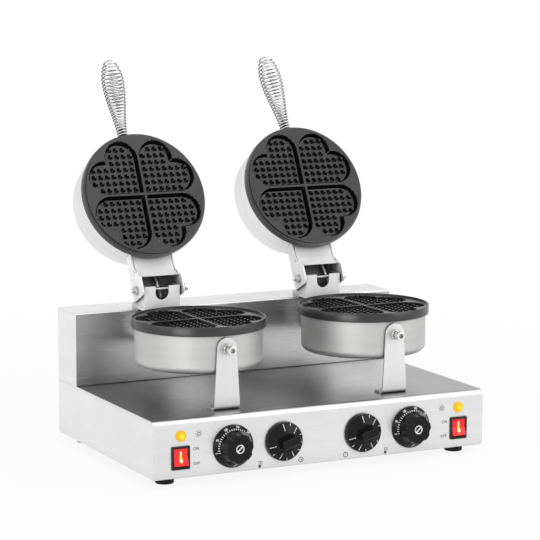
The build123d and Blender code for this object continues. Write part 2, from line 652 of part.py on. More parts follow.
def hinge_arm():
    """The lid's arm, lid closed: a channel with a curved web below that joins the drum's wall."""
    half, t = ARM_HALF_WIDTH, ARM_SHEET
    top, low = HINGE_Z + ARM_ABOVE, HINGE_Z - ARM_BELOW
    back = HINGE_Y + ARM_BEHIND
    outer = block(-half, half, IRON_Y, back, low, top)
    outer = fillet(outer.edges().filter_by(Axis.Y).group_by(Axis.Z)[-1], ARM_CORNER)
    inner = block(-half + t, half - t, IRON_Y, back, low, top - t)
    inner = fillet(inner.edges().filter_by(Axis.Y).group_by(Axis.Z)[-1], ARM_CORNER - t)
    arm = (outer - inner) & arm_side_view(half)
    arm += arm_web()
    slits = [block(*sorted((side * (half - t), side * (half - t - ARM_SLIT))), IRON_Y,
                   HINGE_Y - ARM_STEP_FRONT, low, LID_DRUM_Z + ARM_NECK_Z + t)
             for side in SIDES.values()]
    arm -= slits
    arm -= rod(upright(0, IRON_Y), DRUM_RADIUS, RISER_TOP, 2 * RISER_TOP)
    return arm - rod(across(-half, HINGE_Y, HINGE_Z), M6_RADIUS + AXLE_FIT, -1, 2 * half + 1)


def arm_side_view(half):
    """The arm's outline seen from the side, as a solid across its whole width."""
    neck = LID_DRUM_Z + ARM_NECK_Z
    low, back = HINGE_Z - ARM_BELOW, HINGE_Y + ARM_BEHIND
    top = HINGE_Z + ARM_ABOVE
    step = HINGE_Y - ARM_STEP_FRONT
    edge = (HINGE_Y - ARM_EDGE_FRONT, HINGE_Z - ARM_EDGE_BELOW)
    points = [(IRON_Y, neck), (step, neck), (step, HINGE_Z - ARM_EDGE_BELOW / 2 - ARM_SHEET), edge,
              (HINGE_Y - ARM_HEEL_FRONT, low), (back - ARM_CORNER, low), (back, low + ARM_CORNER),
              (back, top), (IRON_Y, top)]
    outline = Polyline(*points, close=True)
    return extrude(across(-half, 0, 0) * make_face(outline), 2 * half)


def arm_web():
    """The web below the arm: level from the drum, then bent down to its straight free edge."""
    neck = LID_DRUM_Z + ARM_NECK_Z
    start = HINGE_Y - ARM_WEB_BEND_START
    end = (HINGE_Y - ARM_EDGE_FRONT, HINGE_Z - ARM_EDGE_BELOW)
    run, fall = end[0] - start, neck - end[1]
    radius = (run**2 + fall**2) / (2 * fall)
    turn = atan2(run, radius - fall)
    outer, inner = radius, radius + ARM_SHEET
    centre = (start, neck - radius)

    def on_arc(r, angle):
        return (centre[0] + r * sin(angle), centre[1] + r * cos(angle))

    lower = ThreePointArc((start, neck), on_arc(outer, turn / 2), on_arc(outer, turn))
    upper = ThreePointArc(on_arc(inner, turn), on_arc(inner, turn / 2), on_arc(inner, 0))
    outline = Line((IRON_Y, neck), (start, neck)) + lower
    outline += Line(on_arc(outer, turn), on_arc(inner, turn)) + upper
    outline += Polyline(on_arc(inner, 0), (IRON_Y, neck + ARM_SHEET), (IRON_Y, neck))
    width = ARM_HALF_WIDTH - ARM_CORNER / 10
    return extrude(across(-width, 0, 0) * make_face(outline), 2 * width)


def hinge_screw(x):
    """The long screw that is the axle: head on the right, thread through the nut on the left."""
    plane = across(x, HINGE_Y, HINGE_Z)
    head_at = ARM_HALF_WIDTH + WASHER_FIT + WASHER_SHEET + LOCK_WASHER + THIN_NUT_LENGTH
    tail = -(ARM_HALF_WIDTH + WASHER_FIT + WASHER_SHEET + LOCK_NUT_LENGTH + AXLE_TAIL)
    tip = head_at + M6_HEAD_LENGTH
    head = rod(plane, M6_HEAD_RADIUS, head_at, tip)
    head = fillet(head.edges().group_by(Axis.X)[-1], M6_RADIUS / 2)
    head -= hexagon_bar(plane, M6_SOCKET_FLATS, tip - M6_SOCKET_DEPTH, tip)
    return head + rod(plane, M6_RADIUS, tail, head_at)


def hinge_nuts(x):
    """The lock nut on the left end of an axle and the thin nut under its head."""
    plane = across(x, HINGE_Y, HINGE_Z)
    left = -(ARM_HALF_WIDTH + WASHER_FIT + WASHER_SHEET)
    right = ARM_HALF_WIDTH + WASHER_FIT + WASHER_SHEET + LOCK_WASHER
    spans = [(left - LOCK_NUT_LENGTH, left), (right, right + THIN_NUT_LENGTH)]
    bore = rod(plane, M6_RADIUS + HOLE_FIT, left - LOCK_NUT_LENGTH, right + THIN_NUT_LENGTH)
    return [hexagon_bar(plane, M6_NUT_FLATS, *span) - bore for span in spans]


def hinge_washers(x):
    """Two spacers between ears and arm, a washer outside each arm and a lock washer on the right."""
    plane = across(x, HINGE_Y, HINGE_Z)
    outside = ARM_HALF_WIDTH + WASHER_FIT
    between = ARM_HALF_WIDTH - ARM_SHEET - WASHER_FIT
    spans = [(YOKE_HALF_WIDTH, between), (-between, -YOKE_HALF_WIDTH),
             (-outside - WASHER_SHEET, -outside), (outside, outside + WASHER_SHEET)]
    rings = [rod(plane, WASHER_RADIUS, *span) for span in spans]
    lock = (outside + WASHER_SHEET, outside + WASHER_SHEET + LOCK_WASHER)
    rings.append(rod(plane, M6_HEAD_RADIUS, *lock))
    bore = rod(plane, M6_RADIUS + HOLE_FIT, -2 * outside, 2 * outside)
    return [ring - bore for ring in rings]


def conduit_run(name):
    """A conduit's upper run, lid closed: its bend behind the axle and its end inside the drum."""
    middle, level = SIDES[name] * IRON_X, HINGE_Z + CONDUIT_BEHIND_AXLE
    bend = (middle + CONDUIT_X[name][1], HINGE_Y + CONDUIT_BEND_BACK, level)
    tip = (middle + CONDUIT_X[name][2], DRUM_BACK - CONDUIT_INTO_DRUM, level)
    return bend, tip


def conduit_points(name):
    """A conduit's start inside the riser, its bend and its end, with the lid open."""
    bend, tip = [open_point(*point) for point in conduit_run(name)]
    tilt = radians(CONDUIT_TILT)
    start = (SIDES[name] * IRON_X + CONDUIT_X[name][0], bend[1] + CONDUIT_BELOW * sin(tilt),
             bend[2] - CONDUIT_BELOW * cos(tilt))
    return start, bend, tip


def conduit_passage(name):
    """The slanted hole that a conduit takes through the riser's top and the hinge's pad."""
    start, bend, tip = conduit_points(name)
    way = Vector(*start) - Vector(*bend)
    return rod(Plane(origin=bend, z_dir=way), CONDUIT_HOLE, 0, CONDUIT_BELOW)


def conduit_entry(name):
    """The hole that a conduit takes through the lid drum's wall, lid closed."""
    bend, tip = conduit_run(name)
    way = Vector(*bend) - Vector(*tip)
    return rod(Plane(origin=tip, z_dir=way), CONDUIT_HOLE, 0, 2 * CONDUIT_INTO_DRUM)


def conduit(name):
    """The metal cable conduit of one lid: up out of the riser, behind the axle, into the drum."""
    path = FilletPolyline(*conduit_points(name), radius=CONDUIT_BEND)
    section = Plane(origin=path @ 0, z_dir=path % 0) * Circle(CONDUIT_RADIUS)
    tube = sweep(section, path=path)
    share = tube.volume / (pi * CONDUIT_RADIUS**2 * path.length)
    print("conduit", name, "bend radius", CONDUIT_BEND, "volume over section x length", round(share, 4))
    return tube


def open_point(x, y, z):
    """Where a point of the closed lid lies when the lid stands open."""
    turn = radians(OPEN_ANGLE)
    dy, dz = y - HINGE_Y, z - HINGE_Z
    return (x, HINGE_Y + dy * cos(turn) + dz * sin(turn), HINGE_Z - dy * sin(turn) + dz * cos(turn))


def coil_point(t):
    """The handle's wire after t turns, along +Z from the collar: a barrel that closes to a tip."""
    x = t / HANDLE_TURNS
    rise = HANDLE_LENGTH * ((1 - HANDLE_PITCH_GROWTH) * x + HANDLE_PITCH_GROWTH * x * x)
    if rise < HANDLE_BELLY_AT:
        swell = (1 - cos(pi * rise / HANDLE_BELLY_AT)) / 2
        radius = HANDLE_NECK_RADIUS + (HANDLE_BELLY_RADIUS - HANDLE_NECK_RADIUS) * swell
    else:
        share = (rise - HANDLE_BELLY_AT) / (HANDLE_LENGTH + WIRE - HANDLE_BELLY_AT)
        closing = cos(pi / 2 * share) ** HANDLE_TIP_POWER
        radius = HANDLE_TIP_RADIUS + (HANDLE_BELLY_RADIUS - HANDLE_TIP_RADIUS) * closing
    angle = 2 * pi * t
    return Vector(radius * cos(angle), radius * sin(angle), 2 * WIRE + rise)


def coil_direction(t):
    """The way the wire runs after t turns."""
    step = 1e-4
    return (coil_point(t + step) - coil_point(t - step)).normalized()


def arc_from(start, tangent, end):
    """The arc that leaves start along tangent and reaches end."""
    chord = end - start
    half = chord.length / 2
    turn = radians(tangent.get_angle(chord))
    middle = (start + end) * 0.5
    corner = start + tangent * (half / cos(turn))
    bulge = (corner - middle).normalized() * (half * tan(turn / 2))
    return ThreePointArc(start, middle + bulge, end)


def biarc(start, start_way, end, end_way):
    """Two arcs that join two points and keep the direction at each."""
    gap = end - start
    ways = start_way + end_way
    a = 2 * (1 - start_way.dot(end_way))
    b = 2 * gap.dot(ways)
    reach = (-b + sqrt(b * b + 4 * a * gap.dot(gap))) / (2 * a)
    joint = (start + start_way * reach + end - end_way * reach) * 0.5
    joint_way = (end - end_way * reach - joint).normalized()
    return [arc_from(start, start_way, joint), arc_from(joint, joint_way, end)]


def handle_path():
    """The wire's path: straight out of the collar, into the turns, with a short straight tip."""
    first, step = 0.25, 0.5
    stops = [first + step * i for i in range(int(HANDLE_TURNS / step))]
    up = Vector(0, 0, 1)
    foot_point = Vector(HANDLE_NECK_RADIUS, 0, 0)
    edges = [Line(foot_point, foot_point + up * WIRE)]
    edges += biarc(foot_point + up * WIRE, up, coil_point(first), coil_direction(first))
    for a, b in zip(stops, stops[1:]):
        edges += biarc(coil_point(a), coil_direction(a), coil_point(b), coil_direction(b))
    tip = coil_point(stops[-1])
    edges.append(Line(tip, tip + coil_direction(stops[-1]) * WIRE))
    return Wire(edges)


def least_coil_gap(samples=24):
    """The least clear distance between neighbouring turns, measured on points of the coil."""
    count = int(HANDLE_TURNS * samples)
    points = [coil_point(i / samples) for i in range(count)]
    least = min((points[i] - points[j]).length
                for i in range(count)
                for j in range(i + samples // 2, min(i + 2 * samples, count)))
    return least - WIRE


def handle_coil():
    """The wound handle as one unbroken tube, standing on +Z."""
    path = handle_path()
    section = Plane(origin=path @ 0, z_dir=path % 0) * Circle(WIRE / 2)
    return sweep(section, path=path)


def handle_stud():
    """The threaded stud inside the handle, with a collar and a shank through the drum's wall."""
    collar = rod(Plane.XY, STUD_COLLAR_RADIUS, -STUD_COLLAR - DRUM_SHEET, 0)
    spigot = rod(Plane.XY, STUD_ROD_RADIUS, 0, STUD_ROD_LENGTH)
    spigot = chamfer(spigot.edges().group_by(Axis.Z)[-1], STUD_ROD_RADIUS / 5)
    shank = rod(Plane.XY, STUD_SHANK_RADIUS, -STUD_COLLAR - STUD_SHANK_LENGTH, 0)
    return collar + spigot, shank


def handle_place(name):
    """The frame of a handle, lid closed: its foot on the drum's front wall, +Z out to the user."""
    way = Vector(0, -1, 0).rotate(Axis.Z, HANDLE_TILT[name]).rotate(Axis.X, HANDLE_LEAN)
    x = SIDES[name] * IRON_X + HANDLE_SHIFT[name]
    origin = Vector(x, DRUM_FRONT, LID_RIM_Z - LIP_HEIGHT + HANDLE_DEPTH) + way * STUD_COLLAR
    return Plane(origin=origin, x_dir=(1, 0, 0), z_dir=way)


def lamp_lens(side):
    """The amber lens: a flange on the panel with a dome."""
    plane = facing_front(side * LAMP_X, FRONT_Y, HOUSING_Z + LAMP_Z)
    flange = rod(plane, LAMP_RADIUS, 0, LAMP_FLANGE)
    flange = fillet(flange.edges().group_by(Axis.Y)[0], LAMP_FLANGE / 2)
    dome = rod(plane, LAMP_DOME_RADIUS, LAMP_FLANGE, LAMP_DOME_HEIGHT)
    return flange + fillet(dome.edges().group_by(Axis.Y)[0], (LAMP_DOME_HEIGHT - LAMP_FLANGE) * 0.8)


def lamp_holder(side):
    """The lamp's sleeve behind the panel, with its clamping nut."""
    plane = facing_front(side * LAMP_X, FRONT_Y, HOUSING_Z + LAMP_Z)
    sleeve = rod(plane, LAMP_SLEEVE_RADIUS, -LAMP_SLEEVE_LENGTH, 0)
    return sleeve + rod(plane, LAMP_NUT_RADIUS, -SHEET - LAMP_NUT_LENGTH, -SHEET)


def rocker_opening(side, z_mid):
    """The space a rocker swings in."""
    x = side * SWITCH_X
    half_w = ROCKER_WIDTH / 2 + ROCKER_FIT
    half_h = ROCKER_HALF_HEIGHT + ROCKER_SWING
    depth = ROCKER_PIVOT + ROCKER_BACK_RADIUS + ROCKER_FIT
    return block(x - half_w, x + half_w, FRONT_Y - SWITCH_BEZEL, FRONT_Y + depth, z_mid - half_h, z_mid + half_h)


def switch_body(side):
    """The switch housing: a bezel on the panel and a box behind it, hollow for the rocker."""
    x, z = side * SWITCH_X, HOUSING_Z + SWITCH_Z
    bezel = block(x - SWITCH_WIDTH / 2, x + SWITCH_WIDTH / 2, FRONT_Y - SWITCH_BEZEL, FRONT_Y,
                  z - SWITCH_HEIGHT / 2, z + SWITCH_HEIGHT / 2)
    bezel = fillet(bezel.edges().filter_by(Axis.Y), SWITCH_BEZEL / 2)
    box = block(x - SWITCH_BODY_WIDTH / 2, x + SWITCH_BODY_WIDTH / 2, FRONT_Y, FRONT_Y + SWITCH_BODY_DEPTH,
                z - SWITCH_BODY_HEIGHT / 2, z + SWITCH_BODY_HEIGHT / 2)
    return bezel + box - rocker_opening(side, z)


def switch_rocker(side):
    """The rocker, tilted to its on side: a shallow V in front and a round back on its pivot."""
    x, z = side * SWITCH_X, HOUSING_Z + SWITCH_Z
    pivot = (FRONT_Y + ROCKER_PIVOT, z)
    outline = Polyline((FRONT_Y - ROCKER_CREST, z + ROCKER_HALF_HEIGHT), (FRONT_Y - ROCKER_VALLEY, z),
                       (FRONT_Y - ROCKER_CREST, z - ROCKER_HALF_HEIGHT),
                       (FRONT_Y + ROCKER_VALLEY, z - ROCKER_HALF_HEIGHT),
                       (FRONT_Y + ROCKER_VALLEY, z + ROCKER_HALF_HEIGHT), close=True)
    plane = across(x - ROCKER_WIDTH / 2, 0, 0)
    face = extrude(plane * make_face(outline), ROCKER_WIDTH)
    back = rod(across(x - ROCKER_WIDTH / 2, *pivot), ROCKER_BACK_RADIUS, 0, ROCKER_WIDTH)
    back -= block(x - ROCKER_WIDTH, x + ROCKER_WIDTH, FRONT_Y - ROCKER_BACK_RADIUS, FRONT_Y,
                  z - ROCKER_BACK_RADIUS, z + ROCKER_BACK_RADIUS)
    return (face + back).rotate(Axis((x, *pivot), (1, 0, 0)), -ROCKER_TILT)


def spindle(plane):
    """The turning spindle behind a knob, down to its control's inside."""
    return rod(plane, SPINDLE_RADIUS, -SHEET - SPINDLE_DEPTH, KNOB_GAP)


def control_body(plane, box):
    """A control behind the panel: its box, a bush through the panel and a bore for the spindle."""
    bush = rod(plane, BUSH_RADIUS, -SHEET, KNOB_GAP / 2)
    bore = rod(plane, SPINDLE_RADIUS + SPINDLE_FIT, -SHEET - SPINDLE_DEPTH - 1, KNOB_GAP)
    return box + bush - bore


def thermostat_body(side):
    """The thermostat's box behind the panel."""
    x, z = side * THERMOSTAT_X, HOUSING_Z + THERMOSTAT_Z
    half, tall = THERMOSTAT_BODY / 2, THERMOSTAT_BODY_HEIGHT / 2
    back = FRONT_Y + SHEET
    box = block(x - half, x + half, back, back + THERMOSTAT_BODY_DEPTH, z - tall, z + tall)
    return control_body(facing_front(x, FRONT_Y, z), box)


def timer_body(side):
    """The clockwork timer's round case behind the panel."""
    plane = facing_front(side * TIMER_X, FRONT_Y, HOUSING_Z + TIMER_Z)
    case = rod(plane, TIMER_BODY_RADIUS, -SHEET - TIMER_BODY_DEPTH, -SHEET)
    return control_body(plane, case)


def thermostat_knob(side):
    """The thermostat's knob: a cone for the scale, a groove and a fluted grip, with its spindle."""
    plane = facing_front(side * THERMOSTAT_X, FRONT_Y, HOUSING_Z + THERMOSTAT_Z)
    cone_start = KNOB_GAP + THERMOSTAT_RIM
    cone_top = cone_start + THERMOSTAT_CONE
    skirt = rod(plane, THERMOSTAT_SKIRT_RADIUS, KNOB_GAP, cone_start)
    skirt += cone(plane, THERMOSTAT_SKIRT_RADIUS, THERMOSTAT_CONE_TOP, cone_start, cone_top)
    grip_start = cone_top + THERMOSTAT_GROOVE
    front = grip_start + THERMOSTAT_KNOB_LENGTH
    grip = cone(plane, THERMOSTAT_KNOB_RADIUS, THERMOSTAT_KNOB_RADIUS - THERMOSTAT_KNOB_TAPER,
                grip_start, front)
    reach = THERMOSTAT_KNOB_RADIUS + THERMOSTAT_FLUTE_RADIUS - THERMOSTAT_FLUTE_DEPTH
    for i in range(THERMOSTAT_FLUTES):
        angle = pi / 2 + 2 * pi * i / THERMOSTAT_FLUTES
        ends = [plane * Pos(r * cos(angle), r * sin(angle), z) * Circle(THERMOSTAT_FLUTE_RADIUS)
                for r, z in ((reach, grip_start), (reach - THERMOSTAT_KNOB_TAPER, front))]
        grip -= loft(ends, ruled=True)
    rim = grip.edges().group_by(Axis.Y)[0]
    grip = chamfer(rim, THERMOSTAT_KNOB_TAPER / 3)
    grip -= rod(plane, THERMOSTAT_BADGE_RADIUS, front - THERMOSTAT_BADGE_DEPTH, front)
    neck = rod(plane, THERMOSTAT_CONE_TOP - 2 * THERMOSTAT_GROOVE, cone_top, grip_start)
    return skirt + neck + grip + spindle(plane)


def timer_knob(side):
    """The timer's knob: a rim, a low cone for the scale and a straight grip, with its spindle."""
    plane = facing_front(side * TIMER_X, FRONT_Y, HOUSING_Z + TIMER_Z)
    cone_start = KNOB_GAP + TIMER_RIM
    disc = rod(plane, TIMER_SKIRT_RADIUS, KNOB_GAP, cone_start)
    disc += cone(plane, TIMER_SKIRT_RADIUS, TIMER_HUB_RADIUS, cone_start, cone_start + TIMER_CONE)
    height = TIMER_CONE + TIMER_GRIP_HEIGHT
    bar = Rot(0, 0, TIMER_GRIP_ANGLE) * Pos(TIMER_GRIP_SHIFT, 0, cone_start + height / 2)
    bar *= Box(TIMER_GRIP_LENGTH, TIMER_GRIP_WIDTH, height)
    bar = fillet(bar.edges().filter_by(Axis.Z), TIMER_GRIP_WIDTH / 6)
    bar = chamfer(bar.edges().group_by(Axis.Z)[-1], TIMER_GRIP_WIDTH / 12)
    return disc + plane * bar + spindle(plane)


def cable_gland():
    """The cable inlet: a thread through the back wall, a hexagon and a domed clamping cap."""
    plane = facing_back(GLAND_X, BACK_Y, HOUSING_Z + GLAND_Z)
    end = GLAND_HEX_LENGTH + GLAND_DOME_LENGTH
    gland = hexagon_bar(plane, GLAND_HEX_FLATS, 0, GLAND_HEX_LENGTH)
    dome = rod(plane, GLAND_DOME_RADIUS, GLAND_HEX_LENGTH, end)
    gland += fillet(dome.edges().group_by(Axis.Y)[-1], GLAND_DOME_RADIUS / 3)
    gland += rod(plane, GLAND_THREAD_RADIUS, -SHEET - GLAND_THREAD_LENGTH, 0)
    return gland - rod(plane, GLAND_BORE_RADIUS, -SHEET - GLAND_THREAD_LENGTH, end)


def gland_locknut():
    """The nut that holds the cable inlet from inside."""
    plane = facing_back(GLAND_X, BACK_Y, HOUSING_Z + GLAND_Z)
    nut = hexagon_bar(plane, GLAND_HEX_FLATS, -SHEET - LOCKNUT_LENGTH, -SHEET)
    return nut - rod(plane, GLAND_THREAD_RADIUS + HOLE_FIT, -SHEET - LOCKNUT_LENGTH, -SHEET)


def terminal_block():
    """The terminal block on the cover, with a screw well and a wire hole for each pole."""
    x0, y0 = TERMINAL_X - TERMINAL_LENGTH / 2, TERMINAL_Y - TERMINAL_WIDTH / 2
    top = HOUSING_Z + TERMINAL_HEIGHT
    body = block(x0, x0 + TERMINAL_LENGTH, y0, y0 + TERMINAL_WIDTH, HOUSING_Z, top)
    pitch = TERMINAL_LENGTH / TERMINAL_POLES
    for pole in range(TERMINAL_POLES):
        x = x0 + pitch * (pole + 0.5)
        for y in (TERMINAL_Y - TERMINAL_WIDTH / 4, TERMINAL_Y + TERMINAL_WIDTH / 4):
            body -= rod(upright(x, y), pitch / 4, top - TERMINAL_HEIGHT / 2, top)
    return body


def open_pose(shape):
    """A piece of the closed lid, swung up to where the open lid rests."""
    return shape.rotate(Axis((0, HINGE_Y, HINGE_Z), (1, 0, 0)), -OPEN_ANGLE)


def lid_pieces(name, side, pockets):
    """The pieces of one lid, built closed and then swung open."""
    centre = Pos(side * IRON_X, IRON_Y, 0)
    turned = centre * Pos(0, 0, LID_DRUM_Z + LID_DRUM_HEIGHT) * Rot(180, 0, 0)
    lid_drum = turned * drum(LID_DRUM_HEIGHT)
    plate = centre * Pos(0, 0, LID_RIM_Z) * Rot(180, 0, 0) * lid_plate(pockets)
    ring_z = LID_DRUM_Z + PLATE_BODY_DEPTH + HEATER_TUBE_RADIUS + HEATER_CLEARANCE
    ring = centre * Pos(0, 0, ring_z) * Rot(0, 180, 0) * heater()
    place = handle_place(name)
    body, shank = handle_stud()
    wall = centre * rod(Plane.XY, DRUM_RADIUS, RISER_TOP, 2 * RISER_TOP)
    shank_hole = rod(place, STUD_SHANK_RADIUS + HOLE_FIT, -STUD_COLLAR - 2 * STUD_SHANK_LENGTH, 0)
    pieces = {
        "hinge_arm": Pos(side * IRON_X, 0, 0) * hinge_arm(),
        "lid_drum": lid_drum - [conduit_entry(name), shank_hole],
        "lid_plate": plate,
        "lid_heater": ring,
        "handle_stud": (place * body - wall) + place * shank,
        "handle_spring": place * handle_coil(),
    }
    return {f"{piece}_{name}": open_pose(shape) for piece, shape in pieces.items()}


def iron_pieces(name, side, pockets):
    """The fixed pieces under one lid and the controls that belong to it."""
    across_x = Pos(side * IRON_X, 0, 0)
    centre = Pos(side * IRON_X, IRON_Y, 0)
    ring_z = RIM_Z - PLATE_BODY_DEPTH - HEATER_TUBE_RADIUS - HEATER_CLEARANCE
    pieces = {
        "lower_drum": centre * Pos(0, 0, DRUM_Z) * drum(LOWER_DRUM_HEIGHT) - drum_cuts_lower(side),
        "lower_plate": centre * Pos(0, 0, LIP_Z) * lower_plate(pockets),
        "lower_heater": centre * Pos(0, 0, ring_z) * heater(),
        "front_bracket": across_x * front_bracket(),
        "rear_bracket": across_x * rear_bracket(),
        "hinge_yoke": across_x * hinge_yoke() - conduit_passage(name),
        "conduit": conduit(name),
        "thermostat_body": thermostat_body(side),
        "thermostat_knob": thermostat_knob(side),
        "timer_body": timer_body(side),
        "timer_knob": timer_knob(side),
        "switch_body": switch_body(side),
        "switch_rocker": switch_rocker(side),
        "lamp_lens": lamp_lens(side),
    }
    return {f"{piece}_{name}": shape for piece, shape in pieces.items()}


def shared_pieces():
    """The housing, and the fasteners and fittings that share a node."""
    xs = [side * IRON_X for side in SIDES.values()]
    pieces = {
        "base_shell": base_shell(),
        "riser_shell": riser_shell(),
        "bottom_cover": bottom_cover(),
        "cover_screws": [cover_screw(*p) for p in cover_screw_places()],
        "feet": [foot(*p) for p in foot_places()],
        "foot_screws": [foot_screw(*p) for p in foot_places()],
        "cable_gland": cable_gland(),
        "gland_locknut": gland_locknut(),
        "terminal_block": terminal_block(),
        "lamp_holders": [lamp_holder(side) for side in SIDES.values()],
        "bracket_screws": [bracket_screw(x) for x in xs],
        "bracket_nuts": [nut for x in xs for nut in bracket_nuts(x)],
        "hinge_screws": [hinge_screw(x) for x in xs],
        "hinge_nuts": [nut for x in xs for nut in hinge_nuts(x)],
        "hinge_washers": [washer for x in xs for washer in hinge_washers(x)],
    }
    for name, side in SIDES.items():
        pieces[f"base_end_{name}"] = end_tray(side, FRONT_Y, BACK_Y, HOUSING_Z, DECK_Z, EDGE_RADIUS)
        pieces[f"riser_end_{name}"] = end_tray(side, RISER_FRONT, BACK_Y, DECK_Z, RISER_TOP, RISER_RADIUS)
    return pieces


def main():
    """Builds every piece and writes each to its own file."""
    print("handle: turns", HANDLE_TURNS, "each, least gap", round(least_coil_gap(), 2))
    os.makedirs("parts", exist_ok=True)
    pockets = waffle_pockets()
    pieces = shared_pieces()
    for name, side in SIDES.items():
        pieces.update(iron_pieces(name, side, pockets))
        pieces.update(lid_pieces(name, side, pockets))
    for node, shape in pieces.items():
        solids = shape if isinstance(shape, list) else shape.solids()
        body = Compound(children=list(solids)) if len(solids) > 1 else solids[0]
        export_step(body.moved(Pos(0, -ORIGIN_BACK, 0)), f"parts/{node}.step")
    hinge = (round(HINGE_Y - ORIGIN_BACK, 3), round(HINGE_Z, 3))
    print(len(pieces), "nodes; hinge axis Y, Z", hinge)


if __name__ == "__main__":
    main()
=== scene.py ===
"""Looks of a double waffle maker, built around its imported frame.

Metres in the frame's axes: +X is the machine's right, +Y its back and +Z up. The lids stand open.
"""

from __future__ import annotations

import json
import logging
import math
from collections.abc import Callable, Sequence
from dataclasses import dataclass, field
from enum import Enum

import bmesh
import bpy
import numpy as np
from mathutils import Matrix

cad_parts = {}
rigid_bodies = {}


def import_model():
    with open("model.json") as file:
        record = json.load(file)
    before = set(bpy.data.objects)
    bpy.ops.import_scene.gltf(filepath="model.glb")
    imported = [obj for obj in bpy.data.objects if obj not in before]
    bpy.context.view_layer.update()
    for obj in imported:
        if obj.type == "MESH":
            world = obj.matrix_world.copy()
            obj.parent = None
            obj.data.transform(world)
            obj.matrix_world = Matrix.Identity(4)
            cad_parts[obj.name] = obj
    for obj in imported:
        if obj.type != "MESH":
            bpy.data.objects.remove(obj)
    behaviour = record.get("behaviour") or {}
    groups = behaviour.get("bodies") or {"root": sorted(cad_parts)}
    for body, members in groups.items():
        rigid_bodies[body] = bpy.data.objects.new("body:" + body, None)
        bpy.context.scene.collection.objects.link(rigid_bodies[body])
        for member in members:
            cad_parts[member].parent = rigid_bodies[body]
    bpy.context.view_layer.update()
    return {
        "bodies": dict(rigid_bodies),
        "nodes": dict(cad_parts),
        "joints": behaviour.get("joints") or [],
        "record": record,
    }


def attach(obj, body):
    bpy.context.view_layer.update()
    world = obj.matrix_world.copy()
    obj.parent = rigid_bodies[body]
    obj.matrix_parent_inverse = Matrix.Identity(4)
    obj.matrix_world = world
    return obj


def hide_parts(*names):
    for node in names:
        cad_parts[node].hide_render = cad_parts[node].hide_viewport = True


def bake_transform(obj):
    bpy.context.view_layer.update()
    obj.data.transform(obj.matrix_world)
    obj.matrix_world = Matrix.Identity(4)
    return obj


LOG = logging.getLogger("waffle_maker")
MM = 0.001
SIDES = {"left": -1.0, "right": 1.0}
IRON_X, IRON_Y = 127.7 * MM, -82.3 * MM
FRONT_Y = -205.5 * MM
HINGE_Y, HINGE_Z = 53.5 * MM, 219.6 * MM
OPEN_ANGLE = math.radians(116.2)
Triple = tuple[float, float, float]
Colour = Triple
# A surface is its points, as rows of X, Y and Z, and its quads, as rows of four point numbers.
Surface = tuple[np.ndarray, np.ndarray]
Node, Socket, Tree = bpy.types.Node, bpy.types.NodeSocket, bpy.types.NodeTree
Sockets = dict[str, Socket]


# Places


@dataclass(frozen=True)
class Place:
    """A local frame in the machine: an origin and the directions of its own X, Y and Z."""

    origin: Triple
    x: Triple = (1.0, 0.0, 0.0)
    y: Triple = (0.0, 1.0, 0.0)
    z: Triple = (0.0, 0.0, 1.0)

    def put(self, points: np.ndarray) -> np.ndarray:
        """Points of the local frame, moved to the machine's frame."""
        return points @ np.array([self.x, self.y, self.z]) + np.array(self.origin)


def facing_front(x: float, y: float, z: float) -> Place:
    """A place on the panel: its X to the machine's right, its Y up, its Z to the user."""
    return Place((x, y, z), (1, 0, 0), (0, 0, 1), (0, -1, 0))


def across(x: float) -> Place:
    """A place on the hinge axis: its Z along the machine's X."""
    return Place((x, HINGE_Y, HINGE_Z), (0, 1, 0), (0, 0, 1), (1, 0, 0))


def opened(points: np.ndarray, back: bool = False) -> np.ndarray:
    """Points of a closed lid, turned about the hinge to the open lid, or the other way round.

    Args:
        points: rows of X, Y and Z in metres.
        back: whether they are turned from the open lid to the closed one.

    Returns:
        The turned rows.
    """
    turn = Matrix.Rotation(OPEN_ANGLE if back else -OPEN_ANGLE, 3, "X")
    hinge = np.array([0.0, HINGE_Y, HINGE_Z])
    return (points - hinge) @ np.array(turn).T + hinge


# Shader graphs


